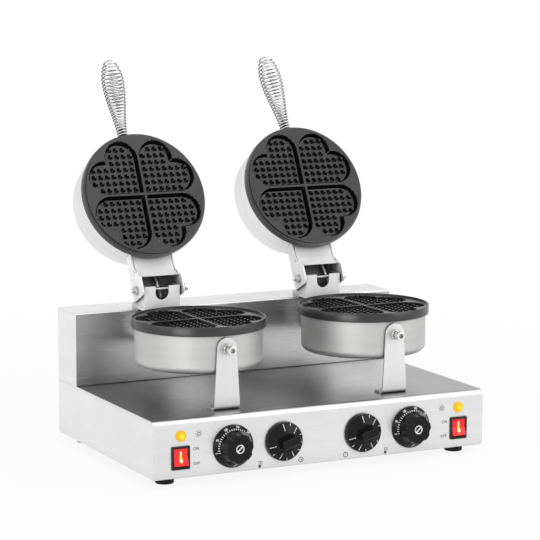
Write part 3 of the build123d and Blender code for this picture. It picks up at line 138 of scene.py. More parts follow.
class Graph:
    """A node tree with short ways to add and join nodes."""

    def __init__(self, tree: Tree) -> None:
        """Empties the tree and starts on it."""
        self.tree = tree
        tree.nodes.clear()

    def fill(self, node: Node, inputs: dict) -> None:
        """Sets a node's inputs.

        Args:
            node: the node.
            inputs: values or sockets by input name or number.
        """
        for key, value in inputs.items():
            if isinstance(value, Socket):
                self.tree.links.new(value, node.inputs[key])
            else:
                node.inputs[key].default_value = value

    def add(self, kind: str, inputs: dict | None = None, **settings: object) -> Node:
        """Adds a node.

        Args:
            kind: the node's class name.
            inputs: values or sockets by input name or number.
            settings: the node's own properties.

        Returns:
            The node.
        """
        node = self.tree.nodes.new(kind)
        for key, value in settings.items():
            setattr(node, key, value)
        self.fill(node, inputs or {})
        return node

    def maths(self, operation: str, first: object, *rest: object, clamp: bool = False) -> Socket:
        """Math nodes in a row, one for each value after the first.

        Args:
            operation: what each node does.
            first: the first value or socket.
            rest: what it is joined with, one after another.
            clamp: whether each result is held between 0 and 1.

        Returns:
            The last node's result.
        """
        for value in rest or (0.0,):
            inputs = {0: first, 1: value}
            first = self.add("ShaderNodeMath", inputs, operation=operation, use_clamp=clamp).outputs[0]
        return first

    def noise(self, vector: object, scale: object, detail: float = 2.0, rough: float = 0.5) -> Socket:
        """A noise texture's value."""
        inputs = {"Vector": vector, "Scale": scale, "Detail": detail, "Roughness": rough}
        return self.add("ShaderNodeTexNoise", inputs).outputs[0]

    def spread(self, value: object, low: object, high: object, a: object = 0.0, b: object = 1.0) -> Socket:
        """A value's range a to b, mapped to low to high and held there."""
        inputs = {0: value, 1: a, 2: b, 3: low, 4: high}
        return self.add("ShaderNodeMapRange", inputs).outputs[0]

    def dot(self, a: object, b: object) -> Socket:
        """The dot product of two vectors."""
        return self.add("ShaderNodeVectorMath", {0: a, 1: b}, operation="DOT_PRODUCT").outputs["Value"]

    def times(self, a: object, b: object) -> Socket:
        """Two vectors or colours, multiplied part by part."""
        return self.add("ShaderNodeVectorMath", {0: a, 1: b}, operation="MULTIPLY").outputs[0]

    def blend(self, share: Socket, a: Colour | Socket, b: Colour | Socket) -> Socket:
        """A mix of two colours.

        Args:
            share: how much of the second there is.
            a: the first colour.
            b: the second colour.

        Returns:
            The mixed colour.
        """
        inputs = {0: share}
        for key, value in ((6, a), (7, b)):
            inputs[key] = value if isinstance(value, Socket) else (*value, 1.0)
        return self.add("ShaderNodeMix", inputs, data_type="RGBA").outputs[2]


@dataclass(frozen=True)
class Effect:
    """A shader node group that several materials use, built once."""

    name: str
    wire: Callable[[Graph, Sockets], Sockets]
    inputs: dict[str, float | Triple]
    vectors: tuple[str, ...] = ()

    def tree(self) -> Tree:
        """The group, built on its first use.

        Its inputs are floats or vectors as their defaults are. Its outputs are floats, but for those
        named in vectors.

        Returns:
            The group's node tree.
        """
        if self.name in bpy.data.node_groups:
            return bpy.data.node_groups[self.name]
        tree = bpy.data.node_groups.new(self.name, "ShaderNodeTree")
        kinds = {True: "NodeSocketVector", False: "NodeSocketFloat"}
        for key, default in self.inputs.items():
            kind = kinds[isinstance(default, tuple)]
            tree.interface.new_socket(key, in_out="INPUT", socket_type=kind).default_value = default
        graph = Graph(tree)
        given = graph.add("NodeGroupInput").outputs
        made = self.wire(graph, {key: given[key] for key in self.inputs})
        for key in made:
            tree.interface.new_socket(key, in_out="OUTPUT", socket_type=kinds[key in self.vectors])
        graph.add("NodeGroupOutput", made)
        return tree

    def on(self, graph: Graph, inputs: dict) -> bpy.types.NodeOutputs:
        """The outputs of the group, placed in a material with values or sockets of its own."""
        return graph.add("ShaderNodeGroup", inputs, node_tree=self.tree()).outputs


def brushed_sheet(graph: Graph, given: Sockets) -> Sockets:
    """Brushed sheet: fine scratches and broad streaks drawn out by Grain, and soft smudges.

    Args:
        graph: the group's graph.
        given: the group's inputs by name.

    Returns:
        Tone about 1, Roughness, and Height for a bump.
    """
    place = graph.add("ShaderNodeMapping", {0: given["Vector"], "Rotation": given["Turn"]}).outputs[0]
    drawn = graph.times(place, given["Grain"])
    scratch = graph.noise(drawn, 1.0, 3.0, 0.6)
    scratches = graph.spread(scratch, -0.5, 0.5, 0.25, 0.75)
    streaks = graph.spread(graph.noise(drawn, 0.06), -0.7, 0.7, 0.25, 0.75)
    smudges = graph.spread(graph.noise(given["Vector"], 14.0, 3.0), -1.0, 1.0, 0.3, 0.7)
    cloud = graph.maths("MULTIPLY", smudges, given["Smudge"])
    fine = graph.maths("MULTIPLY", scratches, given["Contrast"])
    broad = graph.maths("MULTIPLY", streaks, given["Contrast"])
    rough = graph.maths("ADD", graph.maths("MULTIPLY", scratches, given["Spread"]), given["Roughness"])
    return {"Tone": graph.maths("ADD", fine, broad, cloud, 1.0),
            "Roughness": graph.maths("SUBTRACT", rough, graph.maths("MULTIPLY", cloud, 0.5)),
            "Height": scratch}


def pebble_grain(graph: Graph, given: Sockets) -> Sockets:
    """Cast or moulded skin: a fine pebble grain with slow changes of tone.

    Args:
        graph: the group's graph.
        given: the group's inputs by name.

    Returns:
        Tone about 1, and Height for a bump.
    """
    slow = graph.spread(graph.noise(given["Vector"], 22.0, 3.0), -1.0, 1.0, 0.3, 0.7)
    return {"Tone": graph.maths("ADD", graph.maths("MULTIPLY", slow, given["Variation"]), 1.0),
            "Height": graph.noise(given["Vector"], given["Scale"], 4.0)}


def soft_edges(graph: Graph, given: Sockets) -> Sockets:
    """Soft edges: a normal rounded over Radius, and a mask that is 1 on the edges.

    Args:
        graph: the group's graph.
        given: the group's inputs by name.

    Returns:
        Normal, and Edge from 0 to 1.
    """
    rounded = graph.add("ShaderNodeBevel", {"Radius": given["Radius"]}, samples=4).outputs[0]
    same = graph.dot(rounded, graph.add("ShaderNodeNewGeometry").outputs["True Normal"])
    return {"Normal": rounded, "Edge": graph.spread(same, 1.0, 0.0, 0.75, 0.99)}


def painted_corner_shade(graph: Graph, given: Sockets) -> Sockets:
    """Painted corner shade: 1 on open faces and down to Floor in slots and corners within Reach, from ambient
    occlusion.
    """
    around = graph.add("ShaderNodeAmbientOcclusion", {"Distance": given["Reach"]}, samples=6).outputs["AO"]
    return {"Open": graph.spread(around, given["Floor"], 1.0, 0.1, 0.8)}


def painted_facing_shade(graph: Graph, given: Sockets) -> Sockets:
    """Painted facing shade: 1 on faces turned away from Facing, and Tone on faces turned to it, past From and
    To.
    """
    way = graph.dot(given["Normal"], given["Facing"])
    return {"Share": graph.spread(way, 1.0, given["Tone"], given["From"], given["To"])}


def glow_spot(graph: Graph, given: Sockets) -> Sockets:
    """Glow: exp(-(x / Reach X)^2 - (z / Reach Z)^2) with faint clouds, held between 0 and 1.

    x and z are the distances from Centre X and Centre Z in the panel's plane, and x counts the same
    on either side of the machine.

    Args:
        graph: the group's graph.
        given: the group's inputs by name.

    Returns:
        Glow from 0 to 1.
    """
    parts = graph.add("ShaderNodeSeparateXYZ", {0: given["Vector"]}).outputs
    squares = []
    for axis, value in (("X", graph.maths("ABSOLUTE", parts[0])), ("Z", parts[2])):
        off = graph.maths("ABSOLUTE", graph.maths("SUBTRACT", value, given[f"Centre {axis}"]))
        squares.append(graph.maths("POWER", graph.maths("DIVIDE", off, given[f"Reach {axis}"]), 2.0))
    spot = graph.maths("POWER", math.e, graph.maths("MULTIPLY", graph.maths("ADD", *squares), -1.0))
    clouds = graph.spread(graph.noise(given["Vector"], 900.0), -0.08, 0.08, 0.3, 0.7)
    return {"Glow": graph.maths("ADD", spot, clouds, clamp=True)}


ORIGIN = (0.0, 0.0, 0.0)
BRUSHED = Effect("brushed_sheet", brushed_sheet, {
    "Vector": ORIGIN, "Turn": ORIGIN, "Grain": (1.0, 1.0, 1.0), "Contrast": 0.06, "Smudge": 0.04,
    "Roughness": 0.3, "Spread": 0.08})
PEBBLES = Effect("pebble_grain", pebble_grain, {"Vector": ORIGIN, "Scale": 1500.0, "Variation": 0.1})
EDGES = Effect("soft_edges", soft_edges, {"Radius": 0.5 * MM}, vectors=("Normal",))
# Painted shade: colour darkened in slots and corners, where shade would fall.
PAINTED_CORNER_SHADE = Effect("painted_corner_shade", painted_corner_shade, {"Reach": 0.03, "Floor": 0.4})
# Painted shade: a darker tone on faces turned one way, as if they lay in shade.
PAINTED_FACING_SHADE = Effect("painted_facing_shade", painted_facing_shade, {
    "Normal": ORIGIN, "Facing": ORIGIN, "Tone": 1.0, "From": 0.7, "To": 0.97})
GLOW = Effect("glow_spot", glow_spot, {
    "Vector": ORIGIN, "Centre X": 0.0, "Centre Z": 0.0, "Reach X": 0.005, "Reach Z": 0.005})


# Finishes


class Grain(Enum):
    """The way a sheet is brushed: how much the noise is scaled along X, Y and Z."""

    ALONG_X = (9.0, 1500.0, 1500.0)
    ALONG_Y = (1500.0, 9.0, 1500.0)
    ROUND_Z = (9.0, 9.0, 1500.0)
    UP_Z = (1500.0, 1500.0, 9.0)


@dataclass(frozen=True)
class Finish:
    """A named finish that is made into a material on its first use."""

    name: str
    colour: Colour
    roughness: float = 0.4
    soften: float = 0.5 * MM
    relief: float = 0.1 * MM

    def material(self) -> bpy.types.Material:
        """The finish as a Blender material.

        Returns:
            The material, which has the finish's name.
        """
        if self.name in bpy.data.materials:
            return bpy.data.materials[self.name]
        made = bpy.data.materials.new(self.name)
        made.use_nodes = True
        graph = Graph(made.node_tree)
        shader = graph.add("ShaderNodeBsdfPrincipled")
        graph.add("ShaderNodeOutputMaterial", {0: shader.outputs[0]})
        graph.fill(shader, self.wire(graph, graph.add("ShaderNodeTexCoord").outputs["Object"]))
        return made

    def wire(self, graph: Graph, place: Socket) -> dict[str, object]:
        """The shader's inputs for this finish, from the place on the piece."""
        raise NotImplementedError

    def edges(self, graph: Graph) -> bpy.types.NodeOutputs:
        """The soft edge group with this finish's radius."""
        return EDGES.on(graph, {"Radius": self.soften})

    def painted_corner_shade(self, graph: Graph, reach: float, floor: float) -> Socket:
        """The painted corner shade's mask for a reach in metres and a tone at the bottom."""
        return PAINTED_CORNER_SHADE.on(graph, {"Reach": reach, "Floor": floor})["Open"]

    def bumped(self, graph: Graph, height: Socket, strength: float, normal: Socket) -> Socket:
        """A normal with the finish's relief on it."""
        inputs = {"Height": height, "Strength": strength, "Distance": self.relief, "Normal": normal}
        return graph.add("ShaderNodeBump", inputs).outputs[0]

    def tinted(self, graph: Graph, tone: Socket) -> Socket:
        """The finish's colour, made lighter or darker by a tone about 1."""
        return graph.times(self.colour, tone)


@dataclass(frozen=True)
class BrushedSteel(Finish):
    """Stainless sheet brushed one way, with painted shade, a darker tone, where it faces one way and in its
    slots and corners.
    """

    grain: Grain = Grain.ALONG_X
    turn: float = 0.0
    contrast: float = 0.06
    smudge: float = 0.03
    spread: float = 0.1
    bump: float = 0.04
    edge: Colour = (0.9, 0.9, 0.9)
    # Painted shade: faces turned this way, within the reach, are darkened to a tone of their own.
    facing: Triple = ORIGIN
    painted_facing_shade: float = 1.0
    facing_reach: tuple[float, float] = (0.7, 0.97)
    # Painted shade: the reach in metres and the tone at the bottom of the darkening in slots and corners.
    corner_shade_reach: float = 0.03
    corner_shade_tone: float = 0.45
    metallic: float = 1.0

    def wire(self, graph: Graph, place: Socket) -> dict[str, object]:
        """Brushed tone, roughness and scratches on a bare metal, with painted shade where it faces one way
        and in slots and corners, and a lighter colour on the edges.

        Args:
            graph: the material's graph.
            place: its Object coordinates.

        Returns:
            The shader's inputs.
        """
        sheet = BRUSHED.on(graph, {
            "Vector": place, "Turn": (self.turn, 0.0, 0.0), "Grain": self.grain.value,
            "Contrast": self.contrast, "Smudge": self.smudge, "Roughness": self.roughness,
            "Spread": self.spread})
        facing = PAINTED_FACING_SHADE.on(graph, {
            "Normal": place.node.outputs["Normal"], "Facing": self.facing, "Tone": self.painted_facing_shade,
            "From": self.facing_reach[0], "To": self.facing_reach[1]})
        corner_shade = self.painted_corner_shade(graph, self.corner_shade_reach, self.corner_shade_tone)
        # The colour carries painted shade: the facing share and the corner share darken the brushed tone.
        tone = graph.maths("MULTIPLY", sheet["Tone"], facing["Share"], corner_shade)
        edges = self.edges(graph)
        return {"Base Color": graph.blend(edges["Edge"], self.tinted(graph, tone), self.edge),
                "Roughness": sheet["Roughness"], "Metallic": self.metallic,
                "Normal": self.bumped(graph, sheet["Height"], self.bump, edges["Normal"])}


@dataclass(frozen=True)
class Skin(Finish):
    """A cast coating, plastic or rubber: plain colour with a fine grain and lighter edges, partly rubbed and
    partly a painted highlight.
    """

    scale: float = 1500.0
    variation: float = 0.12
    bump: float = 0.15
    edge_wear_and_highlight: Colour = (0.2, 0.2, 0.2)
    edge_wear_and_highlight_share: float = 0.3
    specular: float = 0.5

    def wire(self, graph: Graph, place: Socket) -> dict[str, object]:
        """Grain, slow tone and lighter edges, partly rubbed and partly a painted highlight, on the plain
        colour.

        Args:
            graph: the material's graph.
            place: its Object coordinates.

        Returns:
            The shader's inputs.
        """
        skin = PEBBLES.on(graph, {"Vector": place, "Scale": self.scale, "Variation": self.variation})
        edges = self.edges(graph)
        # Lighter edges: partly rubbed, partly a painted highlight where the rounding catches light.
        share = graph.maths("MULTIPLY", edges["Edge"], self.edge_wear_and_highlight_share)
        return {"Base Color": graph.blend(share, self.tinted(graph, skin["Tone"]), self.edge_wear_and_highlight),
                "Roughness": graph.maths("MULTIPLY", skin["Tone"], self.roughness),
                "Normal": self.bumped(graph, skin["Height"], self.bump, edges["Normal"]),
                "Specular IOR Level": self.specular}


@dataclass(frozen=True)
class Coating(Skin):
    """The plates' coating: a skin whose steep faces, by the attribute steep, get painted shade in their
    colour and less shine, with more painted shade in corners.
    """

    # Painted shade: steep faces and corners of the pockets are darkened in the colour; steep faces also lose
    # shine.
    painted_side_tone: float = 0.4
    side_shine: float = 0.06
    steepness: tuple[float, float] = (0.1, 0.6)
    corner: float = 6.0 * MM
    painted_corner_tone: float = 0.3

    def flatness(self, graph: Graph, least: float) -> Socket:
        """A share that is 1 on flat faces and least on steep ones."""
        steep = graph.add("ShaderNodeAttribute", attribute_name="steep").outputs["Fac"]
        return graph.spread(steep, 1.0, least, *self.steepness)

    def tinted(self, graph: Graph, tone: Socket) -> Socket:
        """The skin's colour with painted shade on the sides and in the corners."""
        # Painted shade on the sides and in the corners.
        dark = (self.flatness(graph, self.painted_side_tone), self.painted_corner_shade(graph, self.corner, self.painted_corner_tone))
        return super().tinted(graph, graph.maths("MULTIPLY", tone, *dark))

    def wire(self, graph: Graph, place: Socket) -> dict[str, object]:
        """The skin, whose shine is full on flat faces and fades on steep ones."""
        shine = graph.maths("MULTIPLY", self.flatness(graph, self.side_shine), self.specular)
        return {**super().wire(graph, place), "Specular IOR Level": shine}


@dataclass(frozen=True)
class Lit(Finish):
    """Clear coloured plastic with a light behind it, brightest at a spot on each side's part."""

    glow: Colour = (1.0, 0.8, 0.2)
    centre: tuple[float, float] = (0.0, 0.0)
    reach: tuple[float, float] = (0.005, 0.005)
    strength: float = 0.6
    base: float = 0.1
    specular: float = 0.25

    def wire(self, graph: Graph, place: Socket) -> dict[str, object]:
        """Colour and emission that fall off from the spot.

        Args:
            graph: the material's graph.
            place: its Object coordinates.

        Returns:
            The shader's inputs.
        """
        spot = GLOW.on(graph, {
            "Vector": place, "Centre X": self.centre[0], "Centre Z": self.centre[1],
            "Reach X": self.reach[0], "Reach Z": self.reach[1]})["Glow"]
        dim = tuple(self.base * part for part in self.colour)
        bright = tuple(self.strength * part for part in self.glow)
        return {"Base Color": graph.blend(spot, self.colour, self.glow),
                "Emission Color": graph.blend(spot, dim, bright), "Emission Strength": 1.0,
                "Roughness": self.roughness, "Normal": self.edges(graph)["Normal"],
                "Specular IOR Level": self.specular}


# Painted shade: the deck, facing up, is darkened to 0.54 of the colour.
HOUSING = BrushedSteel("housing_brushed", (0.76, 0.76, 0.76), 0.30, contrast=0.03,
                       facing=(0.0, 0.0, 1.0), painted_facing_shade=0.54)
HOUSING_END = BrushedSteel("housing_end_brushed", (0.82, 0.82, 0.82), 0.34, grain=Grain.ALONG_Y,
                           contrast=0.03)
# Painted shade: the riser's front, facing the user, is darkened to 0.64 of the colour.
RISER = BrushedSteel("riser_brushed", (0.82, 0.82, 0.82), 0.24, contrast=0.04, smudge=0.06,
                     facing=(0.0, -1.0, 0.0), painted_facing_shade=0.64)
# Painted shade: the lower drum's steel is given a darker colour than the lid drum's.
LOWER_DRUM = BrushedSteel("lower_drum_shaded_satin", (0.57, 0.568, 0.565), 0.50, grain=Grain.ROUND_Z)
LID_DRUM = BrushedSteel("lid_drum_satin", (0.80, 0.80, 0.80), 0.36, grain=Grain.ROUND_Z, turn=OPEN_ANGLE)
BRACKET = BrushedSteel("bracket_satin", (0.75, 0.75, 0.75), 0.44, grain=Grain.UP_Z, contrast=0.03)
# Painted light and shade: the hinge steel is near-white and mostly diffuse so it reads bright, and slots and
# corners within 6 cm are darkened nearly to black.
ARM = BrushedSteel("hinge_satin_painted_bright", (0.97, 0.97, 0.97), 0.5, grain=Grain.UP_Z, contrast=0.03, corner_shade_reach=0.06,
                   corner_shade_tone=0.03, metallic=0.1)
ZINC = BrushedSteel("zinc_bright", (0.78, 0.78, 0.77), 0.22, grain=Grain.ROUND_Z, contrast=0.1,
                    soften=0.3 * MM)
# Painted shade and reflection: faces of the wire turned down are darkened nearly to black.
CHROME = BrushedSteel("handle_wire_chrome", (0.84, 0.84, 0.85), 0.08, contrast=0.08, bump=0.01,
                      soften=0.1 * MM, facing=(0.0, -0.3, -0.95), painted_facing_shade=0.04, facing_reach=(0.2, 0.75))
DARK_STUD = BrushedSteel("stud_dark", (0.16, 0.16, 0.16), 0.4)
# Painted shade between the braid's strands.
BRAID = BrushedSteel("conduit_braid", (0.88, 0.88, 0.86), 0.3, contrast=0.2, soften=0.1 * MM, corner_shade_reach=0.004)
DULL = BrushedSteel("heater_dull", (0.30, 0.29, 0.28), 0.5)
# Its lighter edges are partly a painted highlight on the hearts' rounded rims.
COATING = Coating("non_stick_coating", (0.010, 0.010, 0.010), 0.28, soften=0.3 * MM, specular=0.72,
                  scale=1800.0, edge_wear_and_highlight=(0.3, 0.3, 0.3), edge_wear_and_highlight_share=0.5, bump=0.06)
DIAL = Skin("dial_moulding", (0.005, 0.005, 0.005), 0.32, edge_wear_and_highlight=(0.15, 0.15, 0.15), specular=0.2)
SWITCH = Skin("switch_moulding", (0.012, 0.010, 0.010), 0.38, specular=0.3)
RUBBER = Skin("black_rubber", (0.006, 0.006, 0.006), 0.55, variation=0.2, edge_wear_and_highlight_share=0.1, specular=0.2)
GLAND = Skin("gland_moulding", (0.035, 0.035, 0.035), 0.5)
CONTROL = Skin("control_case", (0.1, 0.1, 0.1), 0.5)
CERAMIC = Skin("terminal_cream", (0.72, 0.70, 0.62), 0.5)
PRINT = Skin("panel_print", (0.008, 0.008, 0.009), 0.6, variation=0.3, soften=0.02 * MM)
DIAL_PRINT = Skin("dial_print", (0.82, 0.82, 0.82), 0.5, variation=0.1, soften=0.02 * MM)
SWITCH_MARK = Lit("switch_mark", (1.0, 0.75, 0.5), 0.4, glow=(1.0, 0.95, 0.6), centre=(0.211, 0.0384),
                  reach=(0.008, 0.012), strength=0.9, base=0.5)
ROCKER = Lit("rocker_red", (0.72, 0.012, 0.02), 0.25, glow=(1.0, 0.55, 0.05), centre=(0.211, 0.0384),
             reach=(0.0016, 0.0048), strength=0.85, base=0.30)
AMBER = Lit("lamp_amber", (0.90, 0.42, 0.01), 0.25, glow=(1.0, 0.72, 0.02), centre=(0.2105, 0.0675),
            reach=(0.003, 0.003), strength=0.42, base=0.26)


# Mesh making


# Points closer than WELD are one, edges shorter than SLIVER go, both in metres.
WELD, SLIVER = 2e-7, 1e-7
# How far printed marks stand above and below their surface, in mm.
INK = 0.05


def ring_faces(rows: int, columns: int) -> np.ndarray:
    """Quads of a grid of rows and columns that closes on itself round its columns.

    Args:
        rows: how many rows there are.
        columns: how many points each row has.

    Returns:
        Rows of four point numbers.
    """
    start = np.arange(rows - 1)[:, None] * columns
    this = start + np.arange(columns)[None, :]
    after = start + (np.arange(columns)[None, :] + 1) % columns
    return np.stack([this, after, after + columns, this + columns], -1).reshape(-1, 4)


def add_piece(name: str, points: np.ndarray, faces: np.ndarray, finish: Finish, body: str,
              nodes: Sequence[str] = (), crease: float = 38.0) -> bpy.types.Object:
    """Makes one finished piece of the machine from points and faces.

    Args:
        name: the piece's name.
        points: rows of X, Y and Z in metres, in the machine's frame.
        faces: rows of four point numbers; doubles are merged.
        finish: what it is made of.
        body: the body that it moves with.
        nodes: frame nodes that it stands for.
        crease: edges sharper than this many degrees stay sharp.

    Returns:
        The object.
    """
    mesh = bpy.data.meshes.new(name)
    mesh.from_pydata(np.asarray(points, float).tolist(), [], faces.tolist())
    shape = bmesh.new()
    shape.from_mesh(mesh)
    bmesh.ops.remove_doubles(shape, verts=shape.verts, dist=WELD)
    bmesh.ops.dissolve_degenerate(shape, edges=shape.edges, dist=SLIVER)
    bmesh.ops.recalc_face_normals(shape, faces=shape.faces)
    shape.to_mesh(mesh)
    shape.free()
    mesh.polygons.foreach_set("use_smooth", np.ones(len(mesh.polygons), bool))
    mesh.set_sharp_from_angle(angle=math.radians(crease))
    mesh.materials.append(finish.material())
    piece = bpy.data.objects.new(name, mesh)
    bpy.context.scene.collection.objects.link(piece)
    if body:
        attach(piece, body)
    if nodes:
        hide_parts(*nodes)
    LOG.info("%s: %d faces, moves with %s", name, len(mesh.polygons), body)
    return piece


def joined(parts: Sequence[Surface]) -> Surface:
    """Several surfaces as one.

    Args:
        parts: the surfaces.

    Returns:
        One surface.
    """
    starts = np.cumsum([0] + [len(points) for points, _ in parts])
    faces = np.concatenate([f + start for (_, f), start in zip(parts, starts)])
    return np.concatenate([points for points, _ in parts]), faces


def turned(rows: Sequence[tuple[float, float, float]], columns: int = 48,
           thread: tuple[float, float] = (0.0, 1.0)) -> Surface:
    """A turned shape about Z whose rows may be round or hexagonal.

    Row k has the radius r (1 - h) + h r / cos(a), where a is the angle from the nearest flat's
    middle. A thread takes off depth |2 frac(z / pitch - angle / full turn) - 1| where h is -1.

    Args:
        rows: (radius or half flats, height, h) in mm, with h 0 for round, 1 for hexagonal, -1 for thread.
        columns: points round the axis.
        thread: the thread's depth and pitch in mm.

    Returns:
        Points in metres and quads.
    """
    radius, height, kind = (np.array(column, float)[:, None] for column in zip(*rows))
    angle = np.linspace(0, 2 * np.pi, columns, endpoint=False)[None, :]
    flat = 1 / np.cos((angle + np.pi / 6) % (np.pi / 3) - np.pi / 6)
    screw = np.abs(2 * ((height / thread[1] - angle / (2 * np.pi)) % 1) - 1) * thread[0]
    r = radius * np.where(kind > 0, 1 + kind * (flat - 1), 1.0) - np.where(kind < 0, screw, 0.0)
    points = np.stack([r * np.cos(angle), r * np.sin(angle), height + 0 * angle], -1)
    return points.reshape(-1, 3) * MM, ring_faces(len(rows), columns)


def tube(path: np.ndarray, radius: np.ndarray, reference: np.ndarray) -> Surface:
    """A closed tube: circles of the given radii round a path, with both ends drawn to a point.

    The circle at a point is path + radius (cos a N + sin a B), where T is the path's direction, N
    the part of reference that is square to T, and B is T cross N.

    Args:
        path: rows of X, Y and Z.
        radius: radii as rows by columns round the tube.
        reference: a direction for each row that is never along the path.

    Returns:
        Points and quads.
    """
    along = np.gradient(path, axis=0)
    along /= np.linalg.norm(along, axis=1, keepdims=True)
    side = reference - (reference * along).sum(1, keepdims=True) * along
    side /= np.linalg.norm(side, axis=1, keepdims=True)
    up = np.cross(along, side)
    angle = np.linspace(0, 2 * np.pi, radius.shape[1], endpoint=False)
    circle = np.cos(angle)[None, :, None] * side[:, None] + np.sin(angle)[None, :, None] * up[:, None]
    rings = path[:, None] + radius[..., None] * circle
    ends = [np.repeat(path[[k]][:, None], len(angle), 1) for k in (0, -1)]
    rings = np.concatenate([ends[0], rings, ends[1]])
    return rings.reshape(-1, 3), ring_faces(len(rings), len(angle))


def slabs(corners: np.ndarray, low: float = -INK, high: float = INK) -> Surface:
    """Thin closed blocks on a place's XY plane, one for each four-cornered outline.

    Args:
        corners: an array of outlines, each four rows of X and Y, counter-clockwise, in mm.
        low: the blocks' bottom in mm.
        high: the blocks' top in mm.

    Returns:
        Points in metres and quads.
    """
    count = len(corners)
    flat = np.asarray(corners, float).reshape(count, 4, 2)
    levels = [np.concatenate([flat, np.full((count, 4, 1), z)], -1) for z in (low, high)]
    points = np.concatenate(levels, 1).reshape(-1, 3) * MM
    block = np.array([[3, 2, 1, 0], [4, 5, 6, 7], [0, 1, 5, 4], [1, 2, 6, 5], [2, 3, 7, 6], [3, 0, 4, 7]])
    return points, (np.arange(count)[:, None, None] * 8 + block[None]).reshape(-1, 4)


def ring_mark(x: float, y: float, inner: float, outer: float, low: float = -INK, high: float = INK,
              columns: int = 40) -> Surface:
    """A flat ring on a place's XY plane: a rectangle carried round a circle.

    Args:
        x: middle in mm.
        y: middle in mm.
        inner: inner radius in mm.
        outer: outer radius in mm.
        low: its bottom in mm.
        high: its top in mm.
        columns: points round it.

    Returns:
        Points in metres and quads.
    """
    angle = np.linspace(0, 2 * np.pi, columns, endpoint=False)
    section = ((inner, low), (outer, low), (outer, high), (inner, high), (inner, low))
    rows = [np.stack([x + r * np.cos(angle), y + r * np.sin(angle), np.full(columns, z)], -1)
            for r, z in section]
    return np.concatenate(rows) * MM, ring_faces(len(rows), columns)


def bars(rows: Sequence[tuple[float, float, float, float, float]]) -> np.ndarray:
    """Four-cornered outlines of straight bars.

    Args:
        rows: (middle x, middle y, length, width, angle in degrees) in mm.

    Returns:
        An array of outlines for slabs.
    """
    x, y, length, width, angle = (np.array(column, float)[:, None] for column in zip(*rows))
    a = np.radians(angle)
    u = np.array([[-0.5, 0.5, 0.5, -0.5]]) * length
    v = np.array([[-0.5, -0.5, 0.5, 0.5]]) * width
    return np.stack([x + u * np.cos(a) - v * np.sin(a), y + u * np.sin(a) + v * np.cos(a)], -1)


def lettering(text: str, size: float, x: float, y: float, turn: float = 0.0, bold: float = 0.1) -> Surface:
    """Plain letters or numbers as thin solid shapes about a point of a place's XY plane.

    Args:
        text: what it says.
        size: the font size in mm.
        x: middle in mm.
        y: middle in mm.
        turn: degrees counter-clockwise.
        bold: how much the strokes are widened to each side in mm.

    Returns:
        Points in metres and quads, each a triangle whose first corner comes again as the fourth.
    """
    curve = bpy.data.curves.new("lettering", "FONT")
    curve.body, curve.size, curve.extrude, curve.offset = text, size, 0.03, bold
    curve.align_x, curve.align_y, curve.resolution_u = "CENTER", "CENTER", 3
    holder = bpy.data.objects.new("lettering", curve)
    bpy.context.scene.collection.objects.link(holder)
    bpy.context.view_layer.update()
    made = bpy.data.meshes.new_from_object(holder)
    made.transform(Matrix.Translation((x, y, 0)) @ Matrix.Rotation(math.radians(turn), 4, "Z"))
    points = np.zeros(len(made.vertices) * 3, np.float32)
    made.vertices.foreach_get("co", points)
    made.calc_loop_triangles()
    corners = np.zeros(len(made.loop_triangles) * 3, np.int32)
    made.loop_triangles.foreach_get("vertices", corners)
    bpy.data.objects.remove(holder)
    bpy.data.curves.remove(curve)
    bpy.data.meshes.remove(made)
    quads = corners.reshape(-1, 3)[:, [0, 1, 2, 0]]
    return points.reshape(-1, 3)[quads.ravel()] * MM, np.arange(quads.size).reshape(-1, 4)


# Sub-assemblies


def smooth_max(a: np.ndarray, b: np.ndarray | float, k: float) -> np.ndarray:
    """The larger of two values with the corner between them rounded over k."""
    h = np.clip(0.5 + 0.5 * (a - b) / k, 0, 1)
    return a * h + b * (1 - h) + k * h * (1 - h)


